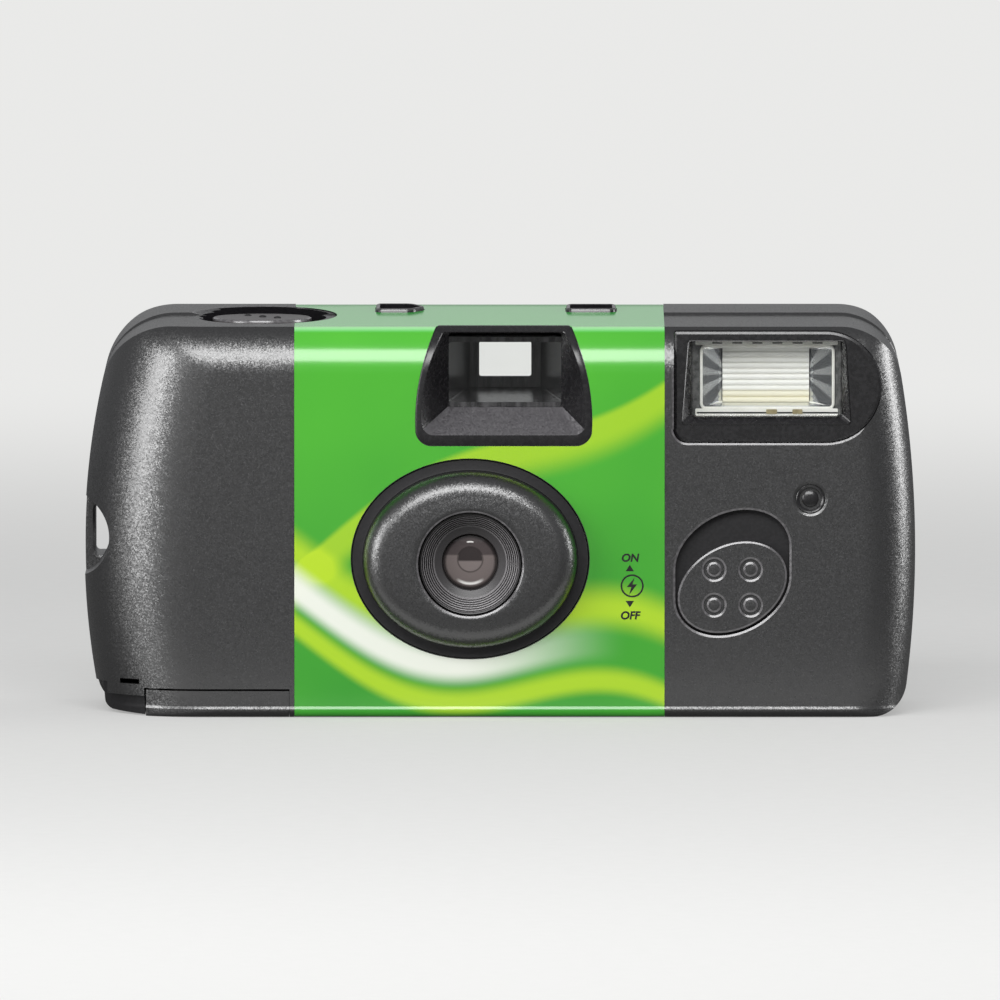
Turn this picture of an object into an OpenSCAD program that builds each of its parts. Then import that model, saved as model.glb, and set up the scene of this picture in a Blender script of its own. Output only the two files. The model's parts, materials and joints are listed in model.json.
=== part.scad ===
// Single-use 35 mm film camera with a built-in flash
// X runs to the right of the front view, Y runs to the back, Z runs up
// The origin is the middle of the base

/* [Case] */
// Width over the bulging ends
body_w = 108; // [106:0.5:112]
// Height of the case at the back edge
body_h = 52; // [51.5:0.25:56]
// Depth of the closed case without the lens mount
case_d = 29.4; // [29:0.2:33]
// Wall of the two covers
wall = 1.2; // [1:0.05:1.3]
// How much lower the top is at its front edge
top_drop = 1.4; // [0.8:0.1:1.8]
// Radius of the left end seen from the front
end_r_left = 100; // [90:5:160]
// Radius of the right end seen from the front
end_r_right = 140; // [100:5:180]
// Height of the widest place
waist_z = 21.5; // [18:0.5:26]
// Upper left corner seen from the front
corner_top_left = 9.5; // [6:0.5:10]
// Upper right corner seen from the front
corner_top_right = 8; // [5:0.5:10]
// Lower corners seen from the front
corner_bottom = 4.5; // [3:0.5:6]
// Round of the grip edge seen from above
grip_r = 13; // [9:0.5:14]
// Round of the right front edge seen from above
right_edge_r = 6.5; // [4:0.5:8]
// Round of the back edges seen from above
back_edge_r = 4; // [2:0.5:5]
// Radius of the roll between the front and the top
roll_r = 7.8; // [6:0.2:10]
// Depth of that roll
roll_d = 2.8; // [2:0.1:3.2]
// Round of the bottom edges
foot_r = 1.3; // [0.8:0.1:2]
// Depth of the front cover, front face to seam
front_depth = 18; // [17:0.5:19]

/* [Label] */
// Left edge of the printed band
label_left = -26.6; // [-27:0.1:-24.5]
// Right edge of the printed band
label_right = 21.4; // [18:0.1:21.5]
// Thickness of the printed band
label_t = 0.25; // [0.15:0.05:0.35]

/* [Lens] */
// Lens axis from the middle of the case
lens_x = -3.8; // [-5:0.2:-2]
// Height of the lens axis
lens_z = 20.2; // [19.6:0.2:21]
// How far the lens mount stands out of the front
lens_proud = 4.2; // [3.8:0.1:5]
// Width of the oval lens mount
mount_w = 27.8; // [26:0.2:30]
// Height of the oval lens mount
mount_h = 22.9; // [22:0.1:24]
// Round of the mount's shoulder
mount_round = 2.6; // [1.5:0.1:3]
// Radius of the hole in the mount
mount_hole_r = 6.8; // [6.6:0.1:7.5]
// Radius of the taking lens
lens_r = 4.3; // [3.9:0.1:4.5]
// Number of light-trap rings round the lens
ring_count = 8; // [5:1:12]

/* [Viewfinder] */
// Middle of the viewfinder
finder_x = 0.75; // [0.2:0.05:1.2]
// Width of the front window
finder_w = 14.7; // [13.5:0.1:15]
// Height of the front window
finder_h = 9.2; // [8.4:0.1:9.4]
// Half-width of the black surround at its widest
surround_half = 11.5; // [11:0.1:12]
// Flat rim of the surround round the funnel
surround_rim = 1.05; // [0.8:0.05:1.3]
// Depth of the funnel in front of the window
finder_set = 4.2; // [3.8:0.1:4.6]
// Width of the eyepiece opening
eyepiece_w = 9; // [7.5:0.1:9.4]
// Height of the eyepiece opening
eyepiece_h = 6; // [5:0.1:6.4]

/* [Flash] */
// Middle of the flash window
flash_x = 34.65; // [34:0.05:35.4]
// Height of the middle of the flash window
flash_z = 43.95; // [43.6:0.05:44.1]
// Width of the flash window
flash_w = 19.3; // [17:0.1:19.6]
// Height of the flash window
flash_h = 9.9; // [9:0.1:10]
// Depth of the sunken flash panel
panel_set = 0.8; // [0.5:0.05:0.9]
// Radius of the flash tube
tube_r = 1.1; // [0.9:0.05:1.2]

/* [Flash switch] */
// Middle of the switch
switch_x = 30.2; // [29.5:0.1:31]
// Height of the middle of the switch when it is off
switch_z = 16.9; // [15.5:0.1:18]
// Long half-axis of the oval knob
switch_a = 7.5; // [6.5:0.1:7.8]
// Short half-axis of the oval knob
switch_b = 5.5; // [4.8:0.1:5.8]
// Tilt of the oval knob
switch_tilt = 28; // [0:1:40]
// Travel of the knob from off to on
switch_travel = 3.8; // [2.5:0.1:4.4]

/* [Shutter button] */
// Middle of the button across the case
button_x = -30.9; // [-32:0.1:-30]
// Middle of the button front to back
button_y = 3; // [2:0.1:3.4]
// Radius of the button
button_r = 6.5; // [5.5:0.1:6.6]
// Travel of the button
button_travel = 0.8; // [0.4:0.05:0.85]

/* [Film] */
// Radius of the film cartridge
cartridge_r = 12; // [11.4:0.1:12.1]
// Height of the film cartridge
cartridge_h = 40; // [39.5:0.1:40.2]
// Width of the film
film_w = 35; // [34:0.1:35]
// Thickness of the film as modelled
film_t = 0.2; // [0.15:0.01:0.25]
// Width of the picture frame
frame_w = 36; // [32:0.5:36]
// Height of the picture frame
frame_h = 24; // [20:0.5:24]
// Radius of the curved film gate
gate_r = 250; // [200:10:400]
// Radius of the wound film before the first picture
film_roll_r = 8.4; // [7:0.1:8.6]
// Radius of the advance wheel
wheel_r = 13.4; // [12.6:0.1:13.5]
// Thickness of the advance wheel
wheel_h = 2.7; // [2:0.1:2.8]
// Radius to the sprocket's tooth tips
sprocket_r = 6.6; // [6:0.1:6.8]
// Radius of the exposure counter disc
counter_r = 5.4; // [4.8:0.1:5.5]

/* [Power] */
// Radius of the battery cell
battery_r = 5.1; // [4.8:0.05:5.15]
// Length of the battery cell with its button
battery_len = 43.4; // [42:0.1:43.5]
// Radius of the flash capacitor
capacitor_r = 5; // [4:0.1:5]

/* [Door] */
// Height of the film door's front lip
door_h = 3.4; // [3:0.1:3.6]
// Left end of the film door
door_left = -46; // [-47:0.1:-45]

/* [Fits] */
// Clearance round a moving piece
slide_gap = 0.3; // [0.3:0.01:0.36]
// Clearance round a turning pin
pin_gap = 0.06; // [0.03:0.01:0.09]

/* [Hidden] */
$fn = 64;

// Depth planes, front to back
y_tip = -(case_d + lens_proud) / 2;
y_front = y_tip + lens_proud;
y_back = y_front + case_d;
y_seam = y_front + front_depth;
y_inside = y_front + wall;
y_rear_in = y_back - wall;

// The crease where the rolled front meets the top, and the roll's centre height
y_crease = y_front + roll_d;
z_crease = body_h - top_drop;
roll_z = z_crease - sqrt(pow(roll_r, 2) - pow(roll_r - roll_d, 2));
back_top_r = 2.5;
label_gap = 0.3;

// Height of the outside of the top at a given depth
function top_at(y) = body_h - top_drop * (y_back - y) / (y_back - y_crease);

// Film cartridge and what stands above it
cartridge_x = -body_w / 2 + 18;
cartridge_z = wall + 0.4;
cartridge_y = y_rear_in - 0.8 - cartridge_r;
cartridge_top = cartridge_z + cartridge_h;
film_z = cartridge_z + cartridge_h / 2;
film_low = film_z - film_w / 2;
film_top = film_z + film_w / 2;
chamber_r = cartridge_r + slide_gap;
chamber_t = 0.8;
wheel_z = cartridge_top + slide_gap;
spool_r = 5.2;
journal_r = 3.1;
drive_r = 1.9;

// Film path: an arc across the gate, and straight runs past its ends
y_film = y_rear_in - 2.2;
gate_half = frame_w / 2;
path_slope = gate_half / sqrt(pow(gate_r, 2) - pow(gate_half, 2));
function arc_drop(d) = gate_r - sqrt(pow(gate_r, 2) - pow(d, 2));
function film_at(x) =
    let (d = abs(x - lens_x))
    d <= gate_half ? y_film - arc_drop(d)
                   : y_film - arc_drop(gate_half) - path_slope * (d - gate_half);
lip_end = cartridge_x + 10.8;
roll_x = 31.5;
roll_y = film_at(roll_x) - film_roll_r * sqrt(1 + pow(path_slope, 2)) - slide_gap;
core_r = 4.5;
roll_wall_r = film_roll_r + 0.5;

// Mechanism deck above the light box
deck_z = film_top - 2.5;
deck_t = 1;
deck_top = deck_z + deck_t;
deck_front = y_front + 5;
deck_back = 9.4;

// Sprocket and exposure counter
sprocket_x = -7.9;
sprocket_y = film_at(sprocket_x) - slide_gap - sprocket_r;
sprocket_t = 1.4;
sprocket_z = deck_z - 0.3 - sprocket_t;
shaft_r = 1.5;
counter_x = -15;
counter_y = 4;
post_r = 1.2;
counter_t = 0.9;
counter_z = body_h - 3.7;
window_y0 = y_seam + 0.9;
counter_win = [-15.8, -9.6];
lamp_win = [8.95, 14.95];
lamp_x = (lamp_win[0] + lamp_win[1]) / 2;
window_d = [5.2, 4.5];

// Shutter behind the lens
y_holder = y_front + 3.2;
y_blade = y_front + 4.25;
blade_t = 0.3;
y_plate = y_front + 4.9;
plate_t = 1;
aperture_r = 1.7;
pivot_x = -11.5;
pivot_z = 27.8;
blade_pin_r = 0.8;
striker_x = -14.5;
striker_y = y_front + 8.7;
striker_z = deck_top + 0.2;
striker_arm = 5;

// Button and release lever, hung from the top
top_button = top_at(button_y);
cup_z = top_button - 2.4;
cup_r = 10.3;
dish_r = 9.5;
dish_depth = 0.9;
flange_z = cup_z - slide_gap;
flange_t = 0.6;
stem_r = 1.4;
lever_y = -0.6;
lever_w = 2;
lever_t = 1;
lever_top = flange_z - flange_t - button_travel - slide_gap;
lever_x = -19.5;
lever_pin_r = 0.8;
spring_x = -12.3;
pawl = [cartridge_x + 14.5, cartridge_y - 8];

// Viewfinder
y_finder = y_front + finder_set;
finder_z = top_at(y_finder) - wall - 0.2 - finder_h / 2;
tube_front = y_finder + 1.55;
tube_back = y_rear_in - 2.3;
tube_w = [16.4, 10.8];
tube_h = [9.2, 8];
tube_z = finder_z - 0.2;
surround_low = finder_z - 9.3;
surround_top = finder_z + 6.4;
surround_bow = 25.7;
surround_waist = finder_z - 4.5;
surround_corner = 1.5;

// Flash
y_panel = y_front + panel_set;
y_window = y_panel + 0.5;
window_t = 1.7;
flange_edge = 0.6;
y_mirror = y_window + window_t + 0.7;
mirror_w = 17.4;
mirror_h = 8.6;
mirror_d = 6;
mirror_t = 0.4;
mirror_focus = pow(mirror_h / 2, 2) / (4 * mirror_d);
tube_y = y_mirror + mirror_d - 1.1;
y_board = y_front + 4;
board_t = 1.2;
board = [23.6, body_w / 2 - 4.5, 3, 37.8];
capacitor_x = body_w / 2 - 7.6;
capacitor_y = 6.3;

// Flash switch
switch_front = y_front + 0.2;
switch_plate_t = 1.1;
switch_plate = [18.4, 21.4];

// Battery under the light box
battery_z = wall + 0.4 + battery_r;
battery_y = y_inside + 0.4 + battery_r;
battery_x0 = -21.7;
battery_x1 = battery_x0 + battery_len;

// Strap lug in the left end
notch_r = 5.75;
notch_in = 3.3;
notch_z = 23;
strap_slot = [2.2, 6.6];
strap_bar = 1.2;

// Raised frames of the two windows in the top
sill_w = 0.5;
sill_up = 0.25;
sill_low = 1.9;

// Film door, and the set-back corner beside it
corner_set = 0.55;
corner_top = 2.2;
door_right = label_left - label_gap - 0.4;
door_back = y_rear_in - 0.2;
door_gap = slide_gap;

charcoal = "#3f3d40";
black = "#232224";
steel = "#b9bcc0";
clear = "#cfe0e6";

// Long shapes along an axis: a flat profile pushed from one place to another
module along_x(x0, x1) translate([x0, 0, 0]) rotate([90, 0, 90]) linear_extrude(x1 - x0) children();
module along_y(y0, y1) translate([0, y1, 0]) rotate([90, 0, 0]) linear_extrude(y1 - y0) children();
module along_z(z0, z1) translate([0, 0, z0]) linear_extrude(z1 - z0) children();
module rod_x(r, x0, x1) translate([x0, 0, 0]) rotate([0, 90, 0]) cylinder(r = r, h = x1 - x0);
module rod_y(r, y0, y1) translate([0, y1, 0]) rotate([90, 0, 0]) cylinder(r = r, h = y1 - y0);
module rod_z(r, z0, z1) translate([0, 0, z0]) cylinder(r = r, h = z1 - z0);
module block(x0, x1, y0, y1, z0, z1) translate([x0, y0, z0]) cube([x1 - x0, y1 - y0, z1 - z0]);
module ring_z(r0, r1, z0, z1) difference() {
    rod_z(r1, z0, z1);
    rod_z(r0, z0 - 1, z1 + 1);
}

// A coil of wire wound up the Z axis as one unbroken tube
module coil(r, wire, turns, rise) {
    steps = 8 * turns;
    sides = 6;
    points = [for (k = [0:steps], s = [0:sides - 1])
        let (a = 45 * k, b = 60 * s, out = r + wire * cos(b))
        [out * cos(a), out * sin(a), rise * k / steps + wire * sin(b)]];
    tube = [for (k = [0:steps - 1], s = [0:sides - 1])
        let (t = (s + 1) % sides, here = k * sides, next = here + sides)
        each [[here + s, here + t, next + t], [here + s, next + t, next + s]]];
    first = [for (s = [sides - 1:-1:0]) s];
    last = [for (s = [0:sides - 1]) steps * sides + s];
    polyhedron(points, concat(tube, [first, last]));
}

// What a rounded corner takes away from a square one; sx and sy point out of the corner
module corner_off(p, r, sx, sy) difference() {
    translate([p.x + (sx > 0 ? -r : -1), p.y + (sy > 0 ? -r : -1)]) square(r + 1);
    translate([p.x - sx * r, p.y - sy * r]) circle(r);
}

// The same for a corner between a bulging end and the flat top or bottom
module end_corner(side, end_r, r, z_edge, up) {
    middle = [side * (body_w / 2 - end_r), waist_z];
    inset = up > 0 ? body_h - z_edge : z_edge;
    big = end_r - inset;
    cz = z_edge - up * r;
    centre = [middle.x + side * sqrt(pow(big - r, 2) - pow(cz - waist_z, 2)), cz];
    aim = (centre - middle) / norm(centre - middle);
    difference() {
        polygon([centre, middle + aim * (big + 2),
            [side * (body_w / 2 + 4), z_edge + up * 2], [centre.x, z_edge + up * 2]]);
        translate(centre) circle(r);
    }
}

// The case seen from the front, from above and from the side, each drawn in by i
module case_outline(i) difference() {
    intersection() {
        translate([-body_w, i]) square([2 * body_w, body_h - 2 * i]);
        translate([-body_w / 2 + end_r_left, waist_z]) circle(end_r_left - i);
        translate([body_w / 2 - end_r_right, waist_z]) circle(end_r_right - i);
    }
    end_corner(-1, end_r_left, corner_top_left - i, body_h - i, 1);
    end_corner(1, end_r_right, corner_top_right - i, body_h - i, 1);
    end_corner(-1, end_r_left, corner_bottom - i, i, -1);
    end_corner(1, end_r_right, corner_bottom - i, i, -1);
}
module case_plan(i) difference() {
    translate([-body_w / 2 + i, y_front + i]) square([body_w - 2 * i, case_d - 2 * i]);
    corner_off([-body_w / 2 + i, y_front + i], grip_r - i, -1, -1);
    corner_off([body_w / 2 - i, y_front + i], right_edge_r - i, 1, -1);
    corner_off([-body_w / 2 + i, y_back - i], back_edge_r - i, -1, 1);
    corner_off([body_w / 2 - i, y_back - i], back_edge_r - i, 1, 1);
}
module case_side(i) difference() {
    polygon([[y_front + i, i], [y_back - i, i], [y_back - i, body_h - i],
        [y_crease, z_crease - i], [y_front + i, z_crease - i]]);
    difference() {
        translate([y_front - 1, roll_z]) square([roll_r + 1, body_h]);
        translate([y_front + roll_r, roll_z]) circle(roll_r - i);
    }
    corner_off([y_front + i, i], max(foot_r - i, 0.1), -1, -1);
    corner_off([y_back - i, i], max(foot_r - i, 0.1), 1, -1);
    corner_off([y_back - i, body_h - i], back_top_r - i, 1, 1);
}
module case_form(i) intersection() {
    along_y(y_front - 1, y_back + 1) case_outline(i);
    along_z(-1, body_h + 1) case_plan(i);
    along_x(-body_w, body_w) case_side(i);
}

// The shallow bed that the printed band lies in, left out round the finder and the lens
module label_bed() difference() {
    along_x(label_left - label_gap, label_right + label_gap) difference() {
        translate([y_front - 2, -2]) square([case_d + 4, body_h + 4]);
        case_side(label_t);
    }
    along_y(y_front - 3, y_crease) hull() surround_parts(0);
    at_lens() along_y(y_front - 3, y_front + 1) mount_seat(0);
}

// The oval that the label leaves free round the lens mount
module mount_seat(grow) scale([(mount_w / 2 + 1.35 + grow) / (mount_h / 2 + 1.35 + grow), 1])
    circle(mount_h / 2 + 1.35 + grow);

// The black surround of the viewfinder, drawn in by i: its hull has bowed sides and round lower corners
module surround_parts(i) {
    low = surround_low + 1.4 * i;
    reach = surround_half - surround_bow;
    r = surround_corner - i / 2;
    foot_x = reach + sqrt(pow(surround_bow - i, 2) - pow(low + r - surround_waist, 2)) - r;
    intersection() {
        translate([finder_x + reach, surround_waist]) circle(surround_bow - i, $fn = 180);
        translate([finder_x - reach, surround_waist]) circle(surround_bow - i, $fn = 180);
        translate([finder_x - surround_half, low + r])
            square([2 * surround_half, surround_top - i - low - r]);
    }
    for (side = [-1, 1]) translate([finder_x + side * foot_x, low + r]) circle(r, $fn = 32);
}

// The oval lens mount, turned from a half-section and stretched sideways
module mount_form(i) translate([lens_x, y_front, lens_z]) rotate([90, 0, 0])
    scale([(mount_w / 2 - i) / (mount_h / 2 - i), 1, 1]) rotate_extrude() difference() {
        translate([0, -wall]) square([mount_h / 2 - i, lens_proud + wall - i]);
        corner_off([mount_h / 2 - i, lens_proud - i], mount_round - i / 2, 1, 1);
    }

// The funnel in front of the viewfinder window, grown by t
module finder_funnel(t) hull() {
    along_y(y_front - 0.5, y_front - 0.4) surround_parts(surround_rim - t);
    along_y(y_finder - 0.1, y_finder) translate([finder_x, finder_z])
        square([finder_w + 2 * t, finder_h + 2 * t], center = true);
}

// The sunken flash panel, square at the left and round at the right
module panel_shape() {
    half = 7.25;
    difference() {
        translate([22.3, flash_z - 1.05 - half]) square([20, 2 * half]);
        corner_off([22.3, flash_z - 1.05 - half], 2, -1, -1);
    }
    translate([42.3, flash_z - 1.05]) circle(half);
}
module window_shape(grow) translate([flash_x, flash_z])
    square([flash_w + 2 * grow, flash_h + 2 * grow], center = true);

// The switch knob, and the slot that it sweeps
module knob_shape(grow) rotate(switch_tilt)
    scale([(switch_a + grow) / (switch_b + grow), 1]) circle(switch_b + grow);
module slot_shape(grow) {
    a = switch_a + grow;
    b = switch_b + grow;
    wide = sqrt(pow(a * cos(switch_tilt), 2) + pow(b * sin(switch_tilt), 2));
    rise = (a * a - b * b) * sin(switch_tilt) * cos(switch_tilt) / wide;
    knob_shape(grow);
    translate([0, switch_travel]) knob_shape(grow);
    polygon([[-wide, -rise], [wide, rise], [wide, rise + switch_travel], [-wide, switch_travel - rise]]);
}

// Windows through the top, one pointed at its right end, and the film door's place
module counter_hole(grow) {
    x0 = counter_win[0] - grow;
    x1 = counter_win[1] + grow;
    y0 = window_y0 - grow;
    y1 = window_y0 + window_d[0] + grow;
    polygon([[x0, y0], [x1 - 1.5, y0], [x1, (y0 + y1) / 2], [x1 - 1.5, y1], [x0, y1]]);
}
module lamp_hole(grow) translate([lamp_win[0] - grow, window_y0 + 0.4 - grow])
    square([lamp_win[1] - lamp_win[0] + 2 * grow, window_d[1] + 2 * grow]);
module door_place(grow)
    block(door_left - grow, door_right + grow, y_front - 1, door_back + grow, -1, door_h + grow);
module at_button() translate([button_x, button_y, 0]) children();
module at_lens() translate([lens_x, 0, lens_z]) children();

module front_cover() color(charcoal) difference() {
    union() {
        difference() {
            intersection() {
                case_form(0);
                block(-body_w, body_w, y_front - 1, y_seam, -1, body_h + 1);
            }
            case_form(wall);
            label_bed();
        }
        mount_form(0);
        intersection() {
            case_form(0);
            finder_funnel(0.9);
        }
        // The wall keeps its thickness behind the sunken flash panel
        intersection() {
            case_form(0);
            along_y(y_front, y_panel + wall) panel_shape();
        }
        intersection() {
            case_form(0);
            union() {
                at_button() rod_z(cup_r, cup_z, body_h);
                translate([-body_w / 2 + notch_in - notch_r, 0, notch_z])
                    rod_y(notch_r + wall, y_front, y_seam);
            }
        }
        for (side = [-1, 1]) translate([switch_x + side * (switch_plate[0] / 2 + slide_gap + 0.6), 0, 0])
            block(-0.6, 0.6, y_inside - 0.2, y_inside + 1.4, switch_z - 4, switch_z + 10);
    }
    mount_form(wall);
    at_lens() rod_y(mount_hole_r, y_tip - 1, y_front + 2);
    finder_funnel(0);
    along_y(y_finder - 0.2, y_finder + 2) translate([finder_x, finder_z])
        square([finder_w, finder_h], center = true);
    along_y(y_front - 1, y_panel) panel_shape();
    along_y(y_front - 1, y_inside + 2) window_shape(0.1);
    hull() {
        along_y(y_panel - 0.1, y_panel) polygon([
            [flash_x - 11, flash_z - 5.95], [flash_x + 11, flash_z - 5.95],
            [flash_x + 10.2, flash_z + flash_h / 2 + 0.1], [flash_x - 10.2, flash_z + flash_h / 2 + 0.1]]);
        along_y(y_panel + 0.9, y_panel + 1) window_shape(0.1);
    }
    translate([switch_x, 0, switch_z]) along_y(y_front - 1, y_inside + 0.1) slot_shape(slide_gap);
    translate([40.3, 0, 28.4]) difference() {
        rod_y(1.95, y_front - 1, y_front + 0.7);
        rod_y(1.35, y_front + 0.15, y_front + 1);
    }
    translate([40.3, 0, 28.4]) rod_y(0.95, y_front - 1, y_inside + 1);
    at_button() rod_z(button_r + slide_gap, cup_z - 1, body_h + 1);
    at_button() translate([0, 0, top_button - dish_depth + dish_ball()]) sphere(dish_ball(), $fn = 128);
    translate([-body_w / 2 + notch_in - notch_r, 0, notch_z]) rod_y(notch_r, y_front - 1, y_seam + 1);
    door_place(door_gap);
    block(door_left - 3.3, door_left - 0.8, y_front - 1, y_inside + 4, 4.3, 5.1);
    difference() {
        block(-body_w, door_left, y_front - 1, y_seam - 0.2, -1, corner_top);
        case_form(corner_set);
    }
}
function dish_ball() = (pow(dish_r, 2) + pow(dish_depth, 2)) / (2 * dish_depth);

module rear_cover() color(charcoal) difference() {
    union() {
        difference() {
            intersection() {
                case_form(0);
                block(-body_w, body_w, y_seam, y_back + 1, -1, body_h + 1);
            }
            case_form(wall);
            label_bed();
        }
        intersection() {
            case_form(0);
            block(-body_w / 2, -body_w / 2 + strap_bar + strap_slot[0] + 1, y_seam, y_back,
                notch_z - strap_slot[1] / 2 - 1, notch_z + strap_slot[1] / 2 + 1);
        }
        intersection() {
            case_form(-sill_up);
            along_z(body_h - sill_low, body_h + 1) {
                counter_hole(sill_w);
                lamp_hole(sill_w);
            }
        }
        for (z = [film_low + 1.5, film_top - 3.5])
            block(lens_x - gate_half, lens_x + gate_half, y_film + 0.6, y_rear_in + 0.2, z, z + 2);
    }
    translate([-body_w / 2 + strap_bar, y_seam - 1, notch_z - strap_slot[1] / 2])
        cube([strap_slot[0], case_d, strap_slot[1]]);
    at_button() rod_z(cup_r + 0.1, cup_z - 0.2, body_h + 1);
    door_place(door_gap);
    along_y(y_rear_in - 1, y_back + 1) translate([finder_x, tube_z])
        square([eyepiece_w, eyepiece_h], center = true);
    hull() {
        along_y(y_rear_in + 0.4, y_rear_in + 0.5) translate([finder_x, tube_z])
            square([eyepiece_w, eyepiece_h], center = true);
        along_y(y_back, y_back + 0.1) translate([finder_x, tube_z])
            square([eyepiece_w + 2.4, eyepiece_h + 2.4], center = true);
    }
    block(cartridge_x - 9.5, cartridge_x + 9.5, y_rear_in - 1, y_back + 1,
        wheel_z - 0.5, wheel_z + wheel_h + 1.2);
    hull() {
        along_y(y_rear_in, y_rear_in + 0.1) translate([cartridge_x - 9.5, wheel_z - 0.5])
            square([19, wheel_h + 1.7]);
        along_y(y_back, y_back + 0.1) translate([cartridge_x - 11.5, wheel_z - 2.5])
            square([23, wheel_h + 5.7]);
    }
    along_z(body_h - 4, body_h + 1) counter_hole(0);
    along_z(body_h - 4, body_h + 1) lamp_hole(0);
}

module wrap_label() color("#55b33c") difference() {
    along_x(label_left, label_right) difference() {
        case_side(0);
        case_side(label_t);
    }
    at_lens() along_y(y_front - 1, y_front + 1) mount_seat(0.15);
    along_y(y_front - 1, y_crease + 0.4) hull() surround_parts(-0.15);
    along_y(y_back - 1, y_back + 1) translate([finder_x, tube_z])
        square([eyepiece_w + 2.8, eyepiece_h + 2.8], center = true);
    at_button() rod_z(cup_r + 0.2, body_h - 4, body_h + 1);
    along_z(body_h - 4, body_h + 1) counter_hole(sill_w + 0.15);
    along_z(body_h - 4, body_h + 1) lamp_hole(sill_w + 0.15);
}

module film_door() color(black) union() {
    difference() {
        intersection() {
            case_form(0);
            door_place(0);
        }
        case_form(wall);
        along_y(y_front - 2, y_back) corner_off([door_right, 0], foot_r / 2, 1, -1);
    }
    block(door_left + 0.9, door_left + 1.7, y_front + 2.6, y_front + 4.4, wall - 0.1, door_h + 0.8);
    block(door_left + 0.5, door_left + 1, y_front + 2.6, y_front + 4.4, door_h - 0.2, door_h + 0.8);
    translate([door_right - wall / 2, 0, wall / 2]) rod_y(wall / 2, y_front + 2, door_back);
}

module chassis() color(black) difference() {
    union() {
        // The gate plate, whose back face is the curved film path
        difference() {
            block(lens_x - gate_half - 1.6, lens_x + gate_half + 5.6, y_film - 2.8, y_film,
                wall + 1.2, film_top + 1);
            difference() {
                block(lens_x - 40, lens_x + 40, y_film - 6, y_film + 1, 0, film_top + 2);
                translate([lens_x, y_film - gate_r - 0.1, -1]) cylinder(r = gate_r, h = 60, $fn = 360);
                block(lens_x - 40, lens_x + 40, y_film - 8, y_film - 1.6, -1, film_top + 3);
            }
        }
        // The light box, from the shutter to the gate
        hull() {
            along_y(y_plate, y_plate + plate_t) at_flat(lens_x, lens_z, 9, 9);
            along_y(y_film - 2.8, y_film - 2.7) at_flat(lens_x, film_z, frame_w + 2, frame_h + 2);
        }
        // The shutter plate in front of it
        block(-18, 10, y_plate, y_plate + plate_t, lens_z - 7.6, deck_z);
        translate([pivot_x, 0, pivot_z]) rod_y(blade_pin_r, y_blade - 0.4, y_plate + 0.1);
        translate([-17.8, 0, pivot_z + 7.2]) rod_y(0.5, y_plate - 2, y_plate + 0.1);
        // Chambers for the cartridge and the film roll
        intersection() {
            translate([cartridge_x, cartridge_y, 0])
                ring_z(chamber_r, chamber_r + chamber_t, wall + 0.2, deck_z);
            union() {
                block(-60, 0, -20, cartridge_y - 5.8, 0, 60);
                block(cartridge_x + 6, 0, -20, cartridge_y + 5, 0, 60);
            }
        }
        block(lens_x - gate_half - 1.6, lens_x - gate_half - 0.6, cartridge_y, y_film - 2.4,
            wall + 0.2, deck_z);
        block(cartridge_x + chamber_r + 0.1, lens_x - gate_half - 0.6, cartridge_y, cartridge_y + 1,
            wall + 0.2, deck_z);
        intersection() {
            translate([roll_x, roll_y, 0]) ring_z(roll_wall_r, roll_wall_r + chamber_t, wall + 0.2, deck_z);
            block(0, 60, -20, roll_y + 5, 0, 60);
        }
        translate([roll_x, roll_y, 0]) rod_z(roll_wall_r + chamber_t, wall + 0.2, wall + 1.2);
        block(lens_x + gate_half + 4.6, roll_x - roll_wall_r - 0.2, roll_y, y_film - 2.5,
            wall + 0.2, deck_z);
        // Saddles for the battery, a rib for its contact, bosses for the board and a clip
        for (x = [-17, 14])
            block(x, x + 1.2, battery_y, y_film - 2, wall + 0.2, battery_z + battery_r + 1);
        block(cartridge_x + 11.1, battery_x0 - 0.95, cartridge_y - 8, cartridge_y - 6, wall + 0.2, 10);
        for (z = [8, 33]) translate([roll_x, 0, z]) rod_y(1.5, y_board + board_t, roll_y - roll_wall_r);
        intersection() {
            translate([capacitor_x, capacitor_y, 0]) ring_z(capacitor_r + 0.1, capacitor_r + 0.9, 8, 12);
            block(0, capacitor_x + 3, -20, 20, 0, 20);
        }
        block(roll_x + roll_wall_r - 0.6, capacitor_x - capacitor_r - 0.2, 1.5, 5, 8, 12);
        translate([sprocket_x, sprocket_y, 0]) rod_z(2.4, film_z + frame_h / 2 - 3, sprocket_z - 0.2);
    }
    // Openings: the picture frame with its light box, the shutter, the sprocket, the cells
    hull() {
        along_y(y_plate + plate_t + 0.1, y_plate + plate_t + 0.2) at_flat(lens_x, lens_z, 7, 7);
        along_y(y_film - 2.8, y_film - 2.7) at_flat(lens_x, film_z, frame_w, frame_h);
    }
    along_y(y_film - 2.9, y_film + 1) at_flat(lens_x, film_z, frame_w, frame_h);
    at_lens() rod_y(aperture_r + 0.9, y_plate - 1, y_plate + 3);
    translate([sprocket_x, sprocket_y, 0]) rod_z(sprocket_r + 0.4, sprocket_z - 0.2, deck_z + 0.01);
    translate([sprocket_x, sprocket_y, 0]) rod_z(shaft_r + pin_gap, sprocket_z - 2, sprocket_z);
    translate([roll_x, roll_y, 0]) rod_z(shaft_r + pin_gap, 0, 3);
    translate([0, battery_y, battery_z]) rod_x(battery_r + 0.1, battery_x0 - 0.6, battery_x1 + 1);
    translate([capacitor_x, capacitor_y, 0]) rod_z(capacitor_r + 0.1, 0, 50);
    translate([cartridge_x, cartridge_y, 0]) rod_z(chamber_r, 0, 60);
    translate([roll_x, roll_y, 0]) rod_z(roll_wall_r, wall + 1.2, 60);
}
module at_flat(x, z, w, h) translate([x, z]) square([w, h], center = true);

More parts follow.
